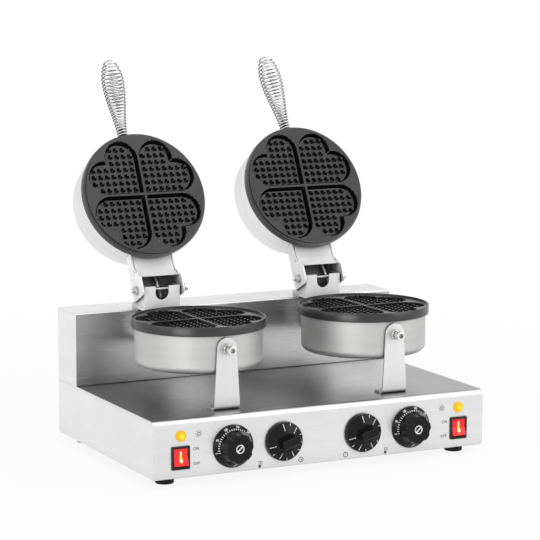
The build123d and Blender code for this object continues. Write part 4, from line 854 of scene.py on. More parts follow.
@dataclass
class WafflePlate:
    """A cast plate with four sunk hearts of square studs; lengths in mm, its own Z out of the face."""

    name: str
    body: str
    place: Place
    open: bool
    face: float
    edge: float
    profile: tuple[tuple[float, float], ...]
    start: float = 1.6
    lobe: float = 25.002
    far: float = 55.502
    depth: float = 8.0
    slope: float = 3.2
    pitch: float = 10.0
    stud_base: float = 6.4
    stud_top: float = 3.2
    stud_height: float = 6.0
    margin: float = 4.4
    round_edge: float = 1.4
    round_floor: float = 1.6
    round_stud: float = 0.3
    round_foot: float = 0.25
    rim: float = 0.3

    def inside(self, x: np.ndarray, y: np.ndarray) -> np.ndarray:
        """How far a point of the first quarter lies inside its heart, less than 0 outside.

        The heart is two bars with round ends, the square of the quarter's corner between them: the
        distance is the least of x - start, y - start and lobe less the distance to either bar's line.

        Args:
            x: distances from the middle along X.
            y: distances along Y.

        Returns:
            Depths into the heart in mm.
        """
        near = self.start + self.lobe
        first = self.lobe - np.hypot(x - near, np.maximum(y - self.far, 0))
        second = self.lobe - np.hypot(y - near, np.maximum(x - self.far, 0))
        return np.minimum(np.minimum(x, y) - self.start, np.maximum(first, second))

    def height(self, x: np.ndarray, y: np.ndarray) -> np.ndarray:
        """Height of the surface above the cooking face.

        The pocket falls depth over slope from the heart's outline with rounded corners. A stud is a
        pyramid about each point of the grid, cut off at its top.

        Args:
            x: places along X.
            y: places along Y.

        Returns:
            Heights in mm.
        """
        x, y = np.abs(x), np.abs(y)
        inside = self.inside(x, y)
        fall = smooth_max(self.depth * inside / self.slope, 0.0, self.round_edge)
        fall = -smooth_max(-fall, -self.depth, self.round_floor)
        column, row = np.round(x / self.pitch), np.round(y / self.pitch)
        u, v = column * self.pitch, row * self.pitch
        near = self.start + self.lobe
        reach = self.lobe - self.margin
        in_lobe = np.minimum(np.hypot(u - near, v - self.far), np.hypot(u - self.far, v - near)) <= reach
        cleft = (near + self.far) / 2 + math.sqrt(self.lobe**2 / 2 - ((self.far - near) / 2) ** 2)
        stands = (in_lobe | (np.maximum(u, v) <= cleft - self.margin)) & (np.minimum(column, row) >= 1)
        off = smooth_max(np.abs(x - u), np.abs(y - v), self.round_stud)
        rise = self.stud_height * (self.stud_base / 2 - off) / ((self.stud_base - self.stud_top) / 2)
        rise = np.minimum(rise, self.stud_height)
        return np.where(stands, smooth_max(-fall, rise - self.depth, self.round_foot), -fall)

    def lines(self) -> np.ndarray:
        """Grid lines over the plate: close together at the walls and the studs' edges.

        Returns:
            Places along one axis in mm, the same on both sides of 0.
        """
        unit = np.array([-5, -4.2, -3.5, -3.05, -2.4, -1.75, -1.45, 0, 1.45, 1.75, 2.4, 3.05, 3.5, 4.2])
        count = int(self.edge // self.pitch) + 1
        outer = (np.arange(1, count + 1)[:, None] * self.pitch + unit[None]).ravel()
        half = np.concatenate([[0.9, 1.35, 1.7, 2.2, 2.9, 3.6, 4.3], outer])
        return np.concatenate([-half[::-1], [0.0], half])

    def mesh(self) -> Surface:
        """The closed casting: the face as a height over a grid drawn in to a circle, then the profile.

        Returns:
            Points in metres and quads.
        """
        lines = self.lines()
        x, y = (a.ravel() for a in np.meshgrid(lines, lines, indexing="ij"))
        beyond = np.hypot(x, y) >= self.edge
        n = len(lines)
        corner = (np.arange(n - 1)[:, None] * n + np.arange(n - 1)[None]).ravel()
        quads = np.stack([corner, corner + n, corner + n + 1, corner + 1], -1)
        quads = quads[~beyond[quads].all(1)]
        shrink = np.where(beyond, self.edge / np.maximum(np.hypot(x, y), 1e-9), 1.0)
        x, y = x * shrink, y * shrink
        used, faces = np.unique(quads, return_inverse=True)
        top = np.stack([x, y, self.face + self.height(x, y)], -1)[used]
        pairs = np.sort(np.stack([quads, np.roll(quads, -1, 1)], -1).reshape(-1, 2), 1)
        sides, times = np.unique(pairs, axis=0, return_counts=True)
        rim = np.unique(sides[times == 1])
        angle = np.sort(np.arctan2(y[rim], x[rim]))
        rows = [(self.edge, self.face), *self.profile]
        wall = [np.stack([r * np.cos(angle), r * np.sin(angle), np.full(len(angle), z)], -1) for r, z in rows]
        return joined([(top * MM, faces.reshape(-1, 4)),
                       (np.concatenate(wall) * MM, ring_faces(len(rows), len(angle)))])

    def build(self) -> None:
        """Makes the piece in place of its frame node."""
        points, faces = self.mesh()
        points = self.place.put(points)
        if self.open:
            points = opened(points)
        piece = add_piece(f"{self.name}_casting", points, faces, COATING, self.body,
                          [self.name], crease=30.0)
        self.mark_sides(piece.data)

    def mark_sides(self, mesh: bpy.types.Mesh) -> None:
        """Writes how steep each face of the pockets stands, 0 flat to 1 upright, as the attribute steep.

        Args:
            mesh: the finished casting.
        """
        rows = {}
        for key in ("center", "normal"):
            flat = np.zeros(len(mesh.polygons) * 3, np.float32)
            mesh.polygons.foreach_get(key, flat)
            rows[key] = flat.reshape(-1, 3).astype(float)
            if self.open:
                rows[key] = opened(rows[key], back=True)
        if self.open:
            rows["normal"] = rows["normal"] - opened(np.zeros((1, 3)), back=True)
        across_plate = np.array([self.place.x, self.place.y]).T / MM
        middle = (rows["center"] - np.array(self.place.origin)) @ across_plate
        steep = 1 - np.clip(rows["normal"] @ np.array(self.place.z), 0, 1)
        steep = np.where(np.hypot(middle[:, 0], middle[:, 1]) < self.edge - self.rim, steep, 0.0)
        mesh.attributes.new("steep", "FLOAT", "FACE").data.foreach_set("value", steep.astype(np.float32))


@dataclass
class WoundHandle:
    """The wound wire handle of one lid; lengths in mm, its own Z along the handle."""

    side: str
    shift: float
    tilt: float
    lean: float = -0.6
    wire: float = 2.5
    turns: float = 25.0
    length: float = 122.75
    growth: float = 0.21
    neck: float = 6.4
    belly: float = 15.4
    tip: float = 4.0
    belly_at: float = 90.0
    tip_power: float = 0.7
    depth: float = 231.2
    front: float = -169.8
    collar: float = 2.5
    drawn_radius: float = 1.17
    first_turn: float = 0.25
    turn_steps: int = 40
    ease_steps: int = 14
    ease: tuple[float, float] = (7.5, 11.0)

    def coil(self, t: np.ndarray) -> np.ndarray:
        """The wire after t turns.

        It rises by length ((1 - growth) s + growth s^2) with s = t / turns. Its radius swells from
        neck to belly by half a cosine wave and closes to the tip by a cosine raised to tip_power.

        Args:
            t: numbers of turns.

        Returns:
            Rows of X, Y and Z in mm.
        """
        s = t / self.turns
        rise = self.length * ((1 - self.growth) * s + self.growth * s * s)
        swell = (1 - np.cos(np.pi * rise / self.belly_at)) / 2
        share = np.clip((rise - self.belly_at) / (self.length + self.wire - self.belly_at), 0, 1)
        closing = self.tip + (self.belly - self.tip) * np.cos(np.pi / 2 * share) ** self.tip_power
        radius = np.where(rise < self.belly_at, self.neck + (self.belly - self.neck) * swell, closing)
        angle = 2 * np.pi * t
        return np.stack([radius * np.cos(angle), radius * np.sin(angle), 2 * self.wire + rise], -1)

    def path(self) -> np.ndarray:
        """The wire's line: straight off the collar, eased into the turns, straight at its tip.

        The ease is a cubic from the collar to the first turn, whose speeds at its ends are the two
        lengths of ease along the wire's way there.

        Returns:
            Rows of X, Y and Z in mm.
        """
        last_turn = self.turns - self.first_turn
        turns = self.coil(np.linspace(self.first_turn, last_turn, int(self.turns * self.turn_steps)))
        foot = np.array([self.neck, 0.0, 0.0])
        up = np.array([0.0, 0.0, 1.0])
        start, end = foot + self.wire * up, turns[0]
        onward = turns[1] - turns[0]
        out, into = self.ease[0] * up, self.ease[1] * onward / np.linalg.norm(onward)
        s = np.linspace(0, 1, self.ease_steps)[:, None]
        ease = ((2 * s**3 - 3 * s**2 + 1) * start + (s**3 - 2 * s**2 + s) * out
                + (3 * s**2 - 2 * s**3) * end + (s**3 - s**2) * into)
        last = turns[-1] - turns[-2]
        tip = turns[-1] + last / np.linalg.norm(last) * self.wire
        return np.concatenate([[foot], ease[:-1], turns, [tip]])

    def place(self) -> Place:
        """The handle's frame with the lid closed, its Z out to the user.

        Returns:
            The frame, from the lean and the tilt of the handle.
        """
        tilt, lean = math.radians(self.tilt), math.radians(self.lean)
        z = np.array([math.sin(tilt), -math.cos(tilt) * math.cos(lean), -math.cos(tilt) * math.sin(lean)])
        x = np.array([1.0, 0.0, 0.0]) - z[0] * z
        x /= np.linalg.norm(x)
        middle = SIDES[self.side] * IRON_X / MM + self.shift
        origin = (np.array([middle, self.front, self.depth]) + z * self.collar) * MM
        return Place(tuple(origin), tuple(x), tuple(np.cross(z, x)), tuple(z))

    def build(self) -> None:
        """Winds the wire as one tube and stands it on its lid."""
        path = self.path()
        outward = path * np.array([1.0, 1.0, 0.0])
        radius = np.full((len(path), 12), self.drawn_radius)
        points, faces = tube(path, radius, outward)
        points = opened(self.place().put(points * MM))
        add_piece(f"handle_wire_{self.side}", points, faces, CHROME, f"lid_{self.side}",
                  [f"handle_spring_{self.side}"])


@dataclass
class BraidedConduit:
    """The cable conduit from the riser into the open lid's drum; lengths in mm."""

    side: str
    offsets: Triple
    radius: float = 2.0
    behind: float = 10.0
    bend_back: float = 12.4
    bend: float = 20.0
    tilt: float = 30.0
    below: float = 32.0
    end_y: float = 0.2
    strands: int = 6
    lay: float = 9.0
    strand: float = 0.15
    inset: float = 0.16

    def corners(self) -> np.ndarray:
        """Its start inside the riser, its bend and its end, with the lid open.

        Returns:
            Three rows of X, Y and Z in mm.
        """
        x = [SIDES[self.side] * IRON_X / MM + offset for offset in self.offsets]
        level = HINGE_Z / MM + self.behind
        closed = np.array([[x[1], HINGE_Y / MM + self.bend_back, level], [x[2], self.end_y, level]])
        bend, tip = opened(closed * MM) / MM
        lean = math.radians(self.tilt)
        start = bend + np.array([x[0] - x[1], self.below * math.sin(lean), -self.below * math.cos(lean)])
        return np.array([start, bend, tip])

    def path(self) -> np.ndarray:
        """Two straight runs joined by an arc of radius bend that touches both.

        The arc leaves the first run at bend tan(turn / 2) before the corner. Its points are
        centre + bend (sin a T - cos a N), with T the first run's way and N towards the centre.

        Returns:
            Rows of X, Y and Z in mm.
        """
        start, corner, tip = self.corners()
        way = (corner - start) / np.linalg.norm(corner - start)
        on = (tip - corner) / np.linalg.norm(tip - corner)
        turn = math.acos(float(way @ on))
        reach = self.bend * math.tan(turn / 2)
        inward = on - (on @ way) * way
        inward /= np.linalg.norm(inward)
        first, last = corner - way * reach, corner + on * reach
        centre = first + inward * self.bend
        angle = np.linspace(0, turn, 60)[:, None]
        arc = centre + self.bend * (np.sin(angle) * way - np.cos(angle) * inward)
        lead = np.linspace(start, first, 50)[:-1]
        tail = np.linspace(last, tip, 150)[1:]
        return np.concatenate([lead, arc, tail])

    def build(self) -> None:
        """Braids the conduit: two sets of strands cross as the larger of two waves round the tube."""
        path = self.path()
        along = np.concatenate([[0], np.cumsum(np.linalg.norm(np.diff(path, axis=0), axis=1))])[:, None]
        angle = np.linspace(0, 2 * np.pi, 36, endpoint=False)[None, :]
        twist = 2 * np.pi * along / self.lay
        weave = np.maximum(np.cos(self.strands * angle + twist), np.cos(self.strands * angle - twist))
        radius = self.radius - self.inset + self.strand * weave
        reference = np.tile([1.0, 0.0, 0.0], (len(path), 1))
        points, faces = tube(path * MM, radius * MM, reference)
        piece = add_piece(f"conduit_braid_{self.side}", points, faces, BRAID, "",
                          [f"conduit_{self.side}"], crease=60.0)
        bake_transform(piece)


def screw_rows(shank: float, low: float, high: float, head: float, length: float, socket: float,
               deep: float, step: float) -> list[tuple[float, float, float]]:
    """A socket head screw as rows for turned, in mm.

    Args:
        shank: thread radius.
        low: height of the thread's end.
        high: height under the head.
        head: head radius.
        length: head length.
        socket: half the socket's flats.
        deep: the socket's depth.
        step: distance between rows of the thread.

    Returns:
        Rows of radius, height and kind.
    """
    top = high + length
    thread = [(shank, z, -1.0) for z in np.arange(low + 0.6, high, step)]
    return [(0, low, 0), (shank - 0.7, low, 0), *thread, (shank, high, 0), (head - 0.3, high, 0),
            (head, high + 0.4, 0), (head, top - 0.8, 0), (head - 0.25, top - 0.25, 0), (head - 0.8, top, 0),
            (socket + 0.25, top, 0.6), (socket, top - 0.3, 1), (socket, top - deep, 1), (0, top - deep, 0)]


def nut_rows(bore: float, flats: float, low: float, high: float) -> list[tuple[float, float, float]]:
    """A hexagonal nut with chamfered corners as rows for turned, in mm.

    Args:
        bore: radius of the bore.
        flats: width across the flats.
        low: height of the lower face.
        high: height of the upper face.

    Returns:
        Rows of radius, height and kind.
    """
    half = flats / 2
    return [(bore, low, 0), (half * 0.98, low, 0.0), (half, low + 0.5, 0.75), (half, low + 0.9, 1),
            (half, high - 0.9, 1), (half, high - 0.5, 0.75), (half * 0.98, high, 0.0), (bore, high, 0),
            (bore, low, 0)]


@dataclass
class BracketScrews:
    """The socket head screw and jam nut on the front of one bracket, in mm; M8."""

    side: str
    z: float = 170.9
    y: float = -173.0
    stand_off: float = 9.5
    end: float = -13.0
    nut: tuple[float, float, float] = (4.05, 12.5, 5.0)
    drum: float = 87.5
    behind: float = 4.4

    def build(self) -> None:
        """Makes the screw and its two nuts, one in front of the bracket and one inside the drum.

        The inner nut's seat lies behind the bracket's plane by the two sheets and their gap, and by
        twice the drop of the drum's round over half the nut's flats.
        """
        place = facing_front(SIDES[self.side] * IRON_X, self.y * MM, self.z * MM)
        rows = screw_rows(shank=4.0, low=self.end, high=self.stand_off, head=6.5, length=8.0, socket=3.0,
                          deep=4.5, step=0.21)
        points, faces = turned(rows, 72, (0.55, 1.25))
        add_piece(f"bracket_screw_{self.side}", place.put(points), faces, ZINC, "base")
        bore, flats, thick = self.nut
        drop = self.drum - math.sqrt(self.drum**2 - (flats / 2) ** 2)
        seat = -self.behind - 2 * drop
        nuts = [turned(nut_rows(bore, flats, low, low + thick), 72) for low in (0.0, seat - thick)]
        points, faces = joined(nuts)
        add_piece(f"bracket_nut_{self.side}", place.put(points), faces, ZINC, "base")


@dataclass
class HingeAxle:
    """The long screw through one hinge with its nuts and washers, in mm; M6."""

    side: str
    arm: float = 32.0
    ear: float = 27.3
    fit: float = 0.1
    sheet: float = 1.6
    lock: float = 1.5
    thin: float = 3.2
    thick: float = 5.0
    end: float = 2.6
    bore: float = 3.05
    flats: float = 10.0
    washer: float = 6.0
    lock_washer: float = 5.0
    arm_wall: float = 2.0

    def build(self) -> None:
        """Makes axle, nuts and washers along the hinge's axis."""
        place = across(SIDES[self.side] * IRON_X)
        out = self.arm + self.fit
        under = out + self.sheet + self.lock + self.thin
        left = -(out + self.sheet)
        rows = screw_rows(shank=3.0, low=left - self.thick - self.end, high=under, head=5.0, length=6.0,
                          socket=2.5, deep=3.0, step=0.24)
        points, faces = turned(rows, 60, (0.35, 1.0))
        add_piece(f"hinge_screw_{self.side}", place.put(points), faces, ZINC, "base")
        nuts = [turned(nut_rows(self.bore, self.flats, low, high), 60)
                for low, high in ((left - self.thick, left), (under - self.thin, under))]
        points, faces = joined(nuts)
        add_piece(f"hinge_nut_{self.side}", place.put(points), faces, ZINC, "base")
        between = self.arm - self.arm_wall - self.fit
        wide, small = self.washer, self.lock_washer
        spans = [(wide, self.ear, between), (wide, -between, -self.ear), (wide, left, -out),
                 (wide, out, -left), (small, -left, self.lock - left)]
        soft = 0.2
        rings = [turned([(self.bore, a, 0), (r - soft, a, 0), (r, a + soft, 0), (r, b - soft, 0),
                         (r - soft, b, 0), (self.bore, b, 0), (self.bore, a, 0)]) for r, a, b in spans]
        points, faces = joined(rings)
        add_piece(f"hinge_washer_{self.side}", place.put(points), faces, ZINC, "base")


@dataclass
class Scale:
    """A cone with a printed scale, in mm: its foot's radius and height, and how it rises inwards."""

    radius: float
    foot: float
    rise: float

    def wrap(self, points: np.ndarray) -> np.ndarray:
        """Flat marks, laid on the cone: each point rises by foot + rise (radius - r)."""
        lift = self.foot * MM + self.rise * (self.radius * MM - np.hypot(points[:, 0], points[:, 1]))
        return points + lift[:, None] * np.array([0.0, 0.0, 1.0])


def spokes(rows: Sequence[tuple[float, float, float, float]]) -> list[tuple[float, ...]]:
    """Radial bars for bars, from rows of (angle in degrees, inner radius, outer radius, width)."""
    return [((a + b) / 2 * math.cos(math.radians(t)), (a + b) / 2 * math.sin(math.radians(t)), b - a, w, t)
            for t, a, b, w in rows]


def around(text: str, size: float, radius: float, angle: float) -> Surface:
    """Lettering on a circle, upright to its centre, at an angle in degrees."""
    a = math.radians(angle)
    return lettering(text, size, radius * math.cos(a), radius * math.sin(a), angle - 90)


@dataclass
class Thermostat:
    """The marks and the screw cap on one thermostat dial, in mm."""

    side: str
    x: float = 135.0
    z: float = 46.8
    scale: Scale = field(default_factory=lambda: Scale(28.9, 2.2, 6.5 / 6.3))
    front: float = 22.6
    numbers: tuple[str, ...] = ("0", "75", "150", "225", "300")
    first: float = 195.0
    step: float = 38.6
    parts: int = 5
    ticks: int = 23
    tick: tuple[float, float, float] = (22.9, 24.7, 0.9)
    pointer: tuple[float, float, float, float, float] = (0.8, -25.4, 4.6, 1.0, 55.0)
    number_size: float = 3.2
    number_at: float = 26.6
    thickness: float = 0.08
    cap: tuple[float, float] = (4.5, 6.1)
    slot: tuple[float, float, float, float, float] = (0.0, 0.0, 9.4, 2.0, 42.0)
    sunk: float = 0.5

    def build(self) -> None:
        """Ticks and numbers round the cone, a slanted mark below, and a slotted cap on the grip."""
        body = f"thermostat_dial_{self.side}"
        panel = facing_front(SIDES[self.side] * self.x * MM, FRONT_Y, self.z * MM)
        rows = [(self.first - k * self.step / self.parts, *self.tick) for k in range(self.ticks)]
        pieces = [slabs(bars([*spokes(rows), self.pointer]), 0.0, self.thickness)]
        pieces += [around(number, self.number_size, self.number_at, self.first - k * self.step)
                   for k, number in enumerate(self.numbers)]
        points, faces = joined(pieces)
        add_piece(f"thermostat_marks_{self.side}", panel.put(self.scale.wrap(points)), faces, DIAL_PRINT,
                  body)
        (inner, outer), top, soft = self.cap, self.front, 0.15
        low = top - self.sunk
        ring = turned([(inner, low, 0), (outer, low, 0), (outer, top - soft, 0), (outer - soft, top, 0),
                       (inner + soft, top, 0), (inner, top - soft, 0), (inner, low, 0)])
        points, faces = joined([ring, slabs(bars([self.slot]), low, top - 0.1)])
        add_piece(f"thermostat_cap_{self.side}", panel.put(points), faces, ZINC, body)


@dataclass
class Timer:
    """The marks on one timer dial, in mm."""

    side: str
    x: float = 60.0
    z: float = 46.2
    scale: Scale = field(default_factory=lambda: Scale(26.3, 4.6, 5.4 / 12.8))
    first: float = 196.5
    step: float = 26.2
    ticks: int = 11
    long_tick: tuple[float, float, float] = (18.4, 24.6, 0.9)
    short_tick: tuple[float, float, float] = (22.2, 25.2, 0.9)
    number_size: float = 3.0
    number_at: float = 16.6
    thickness: float = 0.08

    def build(self) -> None:
        """Eleven ticks round the cone, every second one long with a number at its inner end."""
        panel = facing_front(SIDES[self.side] * self.x * MM, FRONT_Y, self.z * MM)
        rows, pieces = [], []
        for k in range(self.ticks):
            angle = self.first + self.step * k
            rows.append((angle, *(self.short_tick if k % 2 else self.long_tick)))
            if k % 2 == 0:
                pieces.append(around(str(k // 2), self.number_size, self.number_at, angle))
        points, faces = joined([*pieces, slabs(bars(spokes(rows)), 0.0, self.thickness)])
        add_piece(f"timer_marks_{self.side}", panel.put(self.scale.wrap(points)), faces, DIAL_PRINT,
                  f"timer_dial_{self.side}")


@dataclass
class PanelPrint:
    """The printed marks beside one side's controls, in mm: plain words at the switch, signs elsewhere."""

    side: str
    lamp: tuple[float, float] = (184.5, 68.3)
    heat: tuple[float, float] = (95.6, 18.0)
    clock: tuple[float, float] = (34.0, 18.2)
    switch_on: tuple[float, float] = (188.8, 48.4)
    switch_off: tuple[float, float] = (187.8, 28.5)
    word_size: float = 5.7

    def lamp_sign(self) -> list[Surface]:
        """A small ring with eight rays.

        Returns:
            Its surfaces on the panel's plane.
        """
        x, y = SIDES[self.side] * self.lamp[0], self.lamp[1]
        rays = [(x + 4.3 * math.cos(a), y + 4.3 * math.sin(a), 1.7, 0.8, math.degrees(a))
                for a in np.arange(8) * math.pi / 4]
        return [ring_mark(x, y, 1.6, 2.5), slabs(bars(rays))]

    def heat_sign(self) -> list[Surface]:
        """A thermometer: a stem, a bulb and three short lines.

        Returns:
            Its surfaces on the panel's plane.
        """
        x, y = SIDES[self.side] * self.heat[0], self.heat[1]
        stem = [(x - 1.1, y + 1.2, 5.2, 0.7, 90), (x + 1.1, y + 1.2, 5.2, 0.7, 90), (x, y + 3.9, 2.6, 0.7, 0)]
        lines = [(x + 3.2, y + h, 1.9, 0.7, 0) for h in (-0.2, 1.6, 3.4)]
        return [slabs(bars(stem + lines)), ring_mark(x, y - 2.9, 0.3, 2.0)]

    def clock_sign(self) -> list[Surface]:
        """A clock face: a ring and two hands.

        Returns:
            Its surfaces on the panel's plane.
        """
        x, y = SIDES[self.side] * self.clock[0], self.clock[1]
        hands = [(x, y + 1.0, 2.6, 0.7, 90), (x + 0.9, y, 2.2, 0.7, 0)]
        return [ring_mark(x, y, 2.9, 3.8), slabs(bars(hands))]

    def build(self) -> None:
        """Prints the marks on the front panel."""
        side = SIDES[self.side]
        parts = self.lamp_sign() + self.heat_sign() + self.clock_sign()
        for word, (x, z) in (("ON", self.switch_on), ("OFF", self.switch_off)):
            parts.append(lettering(word, self.word_size, side * x, z, bold=0.06))
        points, faces = joined(parts)
        add_piece(f"panel_print_{self.side}", facing_front(0, FRONT_Y, 0).put(points), faces, PRINT,
                  "base")


@dataclass
class RockerMarks:
    """The bar and ring on one rocker, in mm, tilted with its two faces."""

    side: str
    x: float = 211.0
    z: float = 38.4
    pivot: float = 3.0
    crest: float = 3.0
    valley: float = 1.0
    half: float = 11.4
    tilt: float = 9.0
    bar: tuple[float, float, float, float, float] = (0.0, 0.0, 5.0, 1.3, 90.0)
    bar_up: float = 5.6
    ring: tuple[float, float] = (1.3, 2.2)
    ring_up: float = -4.6
    levels: tuple[float, float] = (-0.05, 0.06)

    def on_face(self, points: np.ndarray, up: float) -> np.ndarray:
        """Marks drawn flat about the origin, laid on the face at a height up and tilted.

        The face runs straight from valley at the middle to crest at the end, and the whole rocker is
        turned by tilt about its pivot.

        Args:
            points: the flat marks in metres.
            up: the height of their middle above the pivot in mm.

        Returns:
            Rows of X, Y and Z in metres, in the machine's frame.
        """
        slope = (self.crest - self.valley) / self.half * math.copysign(1, up)
        z = points[:, 1] / MM + up
        out = self.valley + slope * z + points[:, 2] / MM + self.pivot
        a = math.radians(-self.tilt)
        y, z = -out * math.cos(a) - z * math.sin(a), -out * math.sin(a) + z * math.cos(a)
        x = SIDES[self.side] * self.x + points[:, 0] / MM
        return np.stack([x, y + self.pivot + FRONT_Y / MM, z + self.z], -1) * MM

    def build(self) -> None:
        """Lays the two marks on the rocker."""
        bar, bar_faces = slabs(bars([self.bar]), *self.levels)
        ring, ring_quads = ring_mark(0, 0, *self.ring, *self.levels)
        points, faces = joined([(self.on_face(bar, self.bar_up), bar_faces),
                                (self.on_face(ring, self.ring_up), ring_quads)])
        add_piece(f"rocker_marks_{self.side}", points, faces, SWITCH_MARK, f"rocker_{self.side}")


@dataclass
class Housing:
    """Gives each frame node that stays its finish."""

    finishes: dict[str, Finish] = field(default_factory=lambda: {
        "base_shell": HOUSING, "base_end": HOUSING_END, "bottom_cover": HOUSING, "riser_shell": RISER,
        "riser_end": HOUSING_END, "lower_drum": LOWER_DRUM, "lid_drum": LID_DRUM, "front_bracket": BRACKET,
        "rear_bracket": BRACKET, "hinge_yoke": ARM, "hinge_arm": ARM, "lower_heater": DULL,
        "lid_heater": DULL, "handle_stud": DARK_STUD, "feet": RUBBER, "foot_screws": ZINC,
        "cover_screws": ZINC, "thermostat_knob": DIAL, "timer_knob": DIAL, "thermostat_body": CONTROL,
        "timer_body": CONTROL, "lamp_holders": CONTROL, "switch_body": SWITCH, "switch_rocker": ROCKER,
        "lamp_lens": AMBER, "cable_gland": GLAND, "gland_locknut": GLAND, "terminal_block": CERAMIC})

    def build(self, nodes: dict[str, bpy.types.Object]) -> None:
        """Dresses every node that is still shown.

        Args:
            nodes: the frame's nodes by name.
        """
        for name, node in nodes.items():
            if node.hide_render:
                continue
            finish = self.finishes.get(name) or self.finishes[name.rsplit("_", 1)[0]]
            for slot in node.material_slots:
                slot.material = finish.material()
            LOG.info("%s: %s", name, finish.name)


# Studio


@dataclass
class Studio:
    """The camera, the pale floor and the soft light."""

    eye: Triple = (-1.43057, -2.90744, 0.72535)
    yaw: float = 0.4633
    pitch: float = 0.1470
    roll: float = 0.0014
    lens: float = 154.70
    shade: float = 0.12
    shade_reach: tuple[float, float] = (0.5, 1.3)
    floor_half: float = 30.0
    floor_tone: float = 0.82
    room: tuple[float, float] = (0.95, 0.72)
    aim: float = 0.2

    def camera(self) -> None:
        """A camera whose axes are turned by yaw about Z, then down by pitch, then by roll."""
        data = bpy.data.cameras.new("camera")
        data.lens, data.sensor_width = self.lens, 36.0
        data.clip_start, data.clip_end = 0.1, 60.0
        eye = bpy.data.objects.new("camera", data)
        sy, cy, sp, cp = math.sin(self.yaw), math.cos(self.yaw), math.sin(self.pitch), math.cos(self.pitch)
        ahead = np.array([sy * cp, cy * cp, -sp])
        right = np.array([cy, -sy, 0.0])
        up = np.cross(right, ahead)
        c, s = math.cos(self.roll), math.sin(self.roll)
        right, up = c * right + s * up, c * up - s * right
        frame = np.eye(4)
        frame[:3] = np.stack([right, up, -ahead, np.array(self.eye)], 1)
        eye.matrix_world = Matrix(frame.tolist())
        bpy.context.scene.collection.objects.link(eye)
        bpy.context.scene.camera = eye

    def floor(self) -> None:
        """A wide floor that looks white to the camera and in metal, and keeps a faint shadow."""
        size = self.floor_half
        points = [(-size, -size, 0.0), (size, -size, 0.0), (size, size, 0.0), (-size, size, 0.0)]
        mesh = bpy.data.meshes.new("floor")
        mesh.from_pydata(points, [], [(0, 1, 2, 3)])
        floor = bpy.data.objects.new("floor", mesh)
        bpy.context.scene.collection.objects.link(floor)
        made = bpy.data.materials.new("studio_floor")
        made.use_nodes = True
        graph = Graph(made.node_tree)
        plain = graph.add("ShaderNodeBsdfDiffuse", {"Color": (*(self.floor_tone,) * 3, 1.0)})
        white = graph.add("ShaderNodeEmission", {"Color": (1, 1, 1, 1), "Strength": 1.0})
        path = graph.add("ShaderNodeLightPath")
        seen = graph.maths("MAXIMUM", path.outputs["Is Camera Ray"], path.outputs["Is Glossy Ray"])
        away = graph.add("ShaderNodeVectorMath", {0: graph.add("ShaderNodeTexCoord").outputs["Object"]},
                         operation="LENGTH").outputs["Value"]
        white_share = graph.spread(away, 1.0 - self.shade, 1.0, *self.shade_reach)
        share = graph.maths("MULTIPLY", seen, white_share)
        mixed = graph.add("ShaderNodeMixShader", {0: share, 1: plain.outputs[0], 2: white.outputs[0]})
        graph.add("ShaderNodeOutputMaterial", {0: mixed.outputs[0]})
        mesh.materials.append(made)

    def world(self) -> None:
        """White behind everything for the camera, and a soft grey room for light and reflections."""
        world = bpy.data.worlds.new("studio")
        bpy.context.scene.world = world
        world.use_nodes = True
        graph = Graph(world.node_tree)
        path = graph.add("ShaderNodeLightPath")
        way = graph.add("ShaderNodeSeparateXYZ", {0: graph.add("ShaderNodeTexCoord").outputs["Generated"]})
        height = graph.spread(way.outputs[2], *self.room, 0.1, 0.8)
        room = graph.add("ShaderNodeBackground", {"Color": (1, 1, 1, 1), "Strength": height})
        white = graph.add("ShaderNodeBackground", {"Color": (1, 1, 1, 1), "Strength": 1.0})
        mixed = graph.add("ShaderNodeMixShader", {0: path.outputs["Is Camera Ray"], 1: room.outputs[0],
                                                  2: white.outputs[0]})
        graph.add("ShaderNodeOutputWorld", {0: mixed.outputs[0]})

    def lamp(self, name: str, power: float, size: tuple[float, float], at: Triple) -> None:
        """One soft box that points at the machine's middle.

        Args:
            name: the lamp's name.
            power: watts.
            size: width and height in metres.
            at: its place.
        """
        data = bpy.data.lights.new(name, "AREA")
        data.energy, data.shape, data.size, data.size_y = power, "RECTANGLE", *size
        lamp = bpy.data.objects.new(name, data)
        bpy.context.scene.collection.objects.link(lamp)
        back = np.array(at) - np.array([0.0, 0.0, self.aim])
        back /= np.linalg.norm(back)
        right = np.cross([0.0, 0.0, 1.0], back)
        right /= np.linalg.norm(right)
        frame = np.eye(4)
        frame[:3] = np.stack([right, np.cross(back, right), back, np.array(at)], 1)
        lamp.matrix_world = Matrix(frame.tolist())

    def build(self) -> None:
        """Sets up the studio."""
        bpy.context.scene.view_settings.view_transform = "Standard"
        self.camera()
        self.floor()
        self.world()
        self.lamp("front", 14.0, (1.6, 1.4), (1.7, -1.9, 1.1))
        self.lamp("low", 8.0, (1.2, 0.6), (-2.0, -1.6, 0.25))
        self.lamp("top", 14.0, (2.8, 1.8), (0.5, -0.5, 2.1))
        self.lamp("left", 4.0, (1.3, 1.5), (-2.1, -0.3, 1.0))


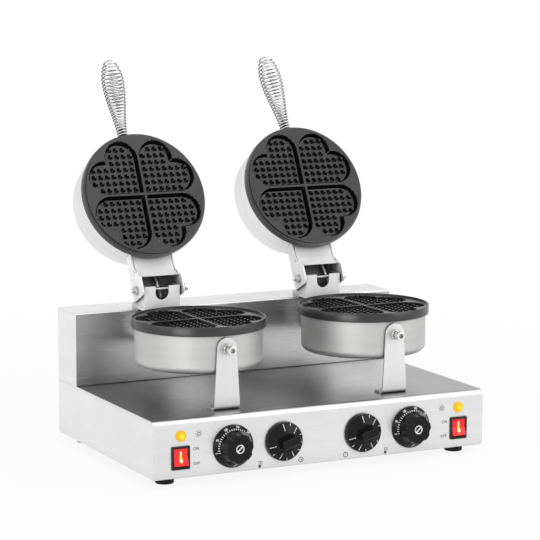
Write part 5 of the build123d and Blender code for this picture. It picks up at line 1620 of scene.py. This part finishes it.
def plate(side: str, lid: bool) -> WafflePlate:
    """One side's lower or lid plate in its place.

    Args:
        side: left or right.
        lid: whether it is the lid's plate.

    Returns:
        The plate.
    """
    x = SIDES[side] * IRON_X
    if lid:
        place = Place((x, IRON_Y, 201.7 * MM), (1, 0, 0), (0, -1, 0), (0, 0, -1))
        rows = ((89.1, 2.3), (89.3, 1.8), (89.3, 0), (91.3, 0), (91.8, -0.2), (92.0, -0.7), (92.0, -10.8),
                (91.7, -11.3), (91.2, -11.5), (85.0, -11.5), (85.0, -21.5), (0, -21.5))
        return WafflePlate(f"lid_plate_{side}", f"lid_{side}", place, True, 2.5, 88.6, rows)
    place = Place((x, IRON_Y, 201.2 * MM))
    rows = ((89.9, -2.3), (90.0, -1.9), (90.0, -0.5), (90.4, -0.1), (90.7, 0), (91.3, 0), (91.8, -0.2),
            (92.0, -0.7), (92.0, -12.0), (91.7, -12.5), (91.2, -12.7), (85.0, -12.7), (85.0, -22.7),
            (0, -22.7))
    return WafflePlate(f"lower_plate_{side}", "base", place, False, -2.5, 89.3, rows)


def main() -> None:
    """Loads the frame, builds every sub-assembly and the studio."""
    logging.basicConfig(level=logging.INFO, format="%(message)s")
    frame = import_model()
    shifts = {"left": (-3.9, 0.9, (8.0, 7.0, 0.0)), "right": (4.7, -4.5, (21.5, 21.5, 10.0))}
    for side, (shift, tilt, offsets) in shifts.items():
        plate(side, lid=False).build()
        plate(side, lid=True).build()
        WoundHandle(side, shift, tilt).build()
        BraidedConduit(side, offsets).build()
        BracketScrews(side).build()
        HingeAxle(side).build()
        Thermostat(side).build()
        Timer(side).build()
        PanelPrint(side).build()
        RockerMarks(side).build()
    for prefix, nodes in (("bracket_screw", "bracket_screws"), ("bracket_nut", "bracket_nuts"),
                          ("hinge_screw", "hinge_screws"), ("hinge_nut", "hinge_nuts"),
                          ("hinge_washer", "hinge_washers")):
        for side in SIDES:
            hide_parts(nodes)
    Housing().build(frame["nodes"])
    Studio().build()


if __name__ == "__main__":
    main()
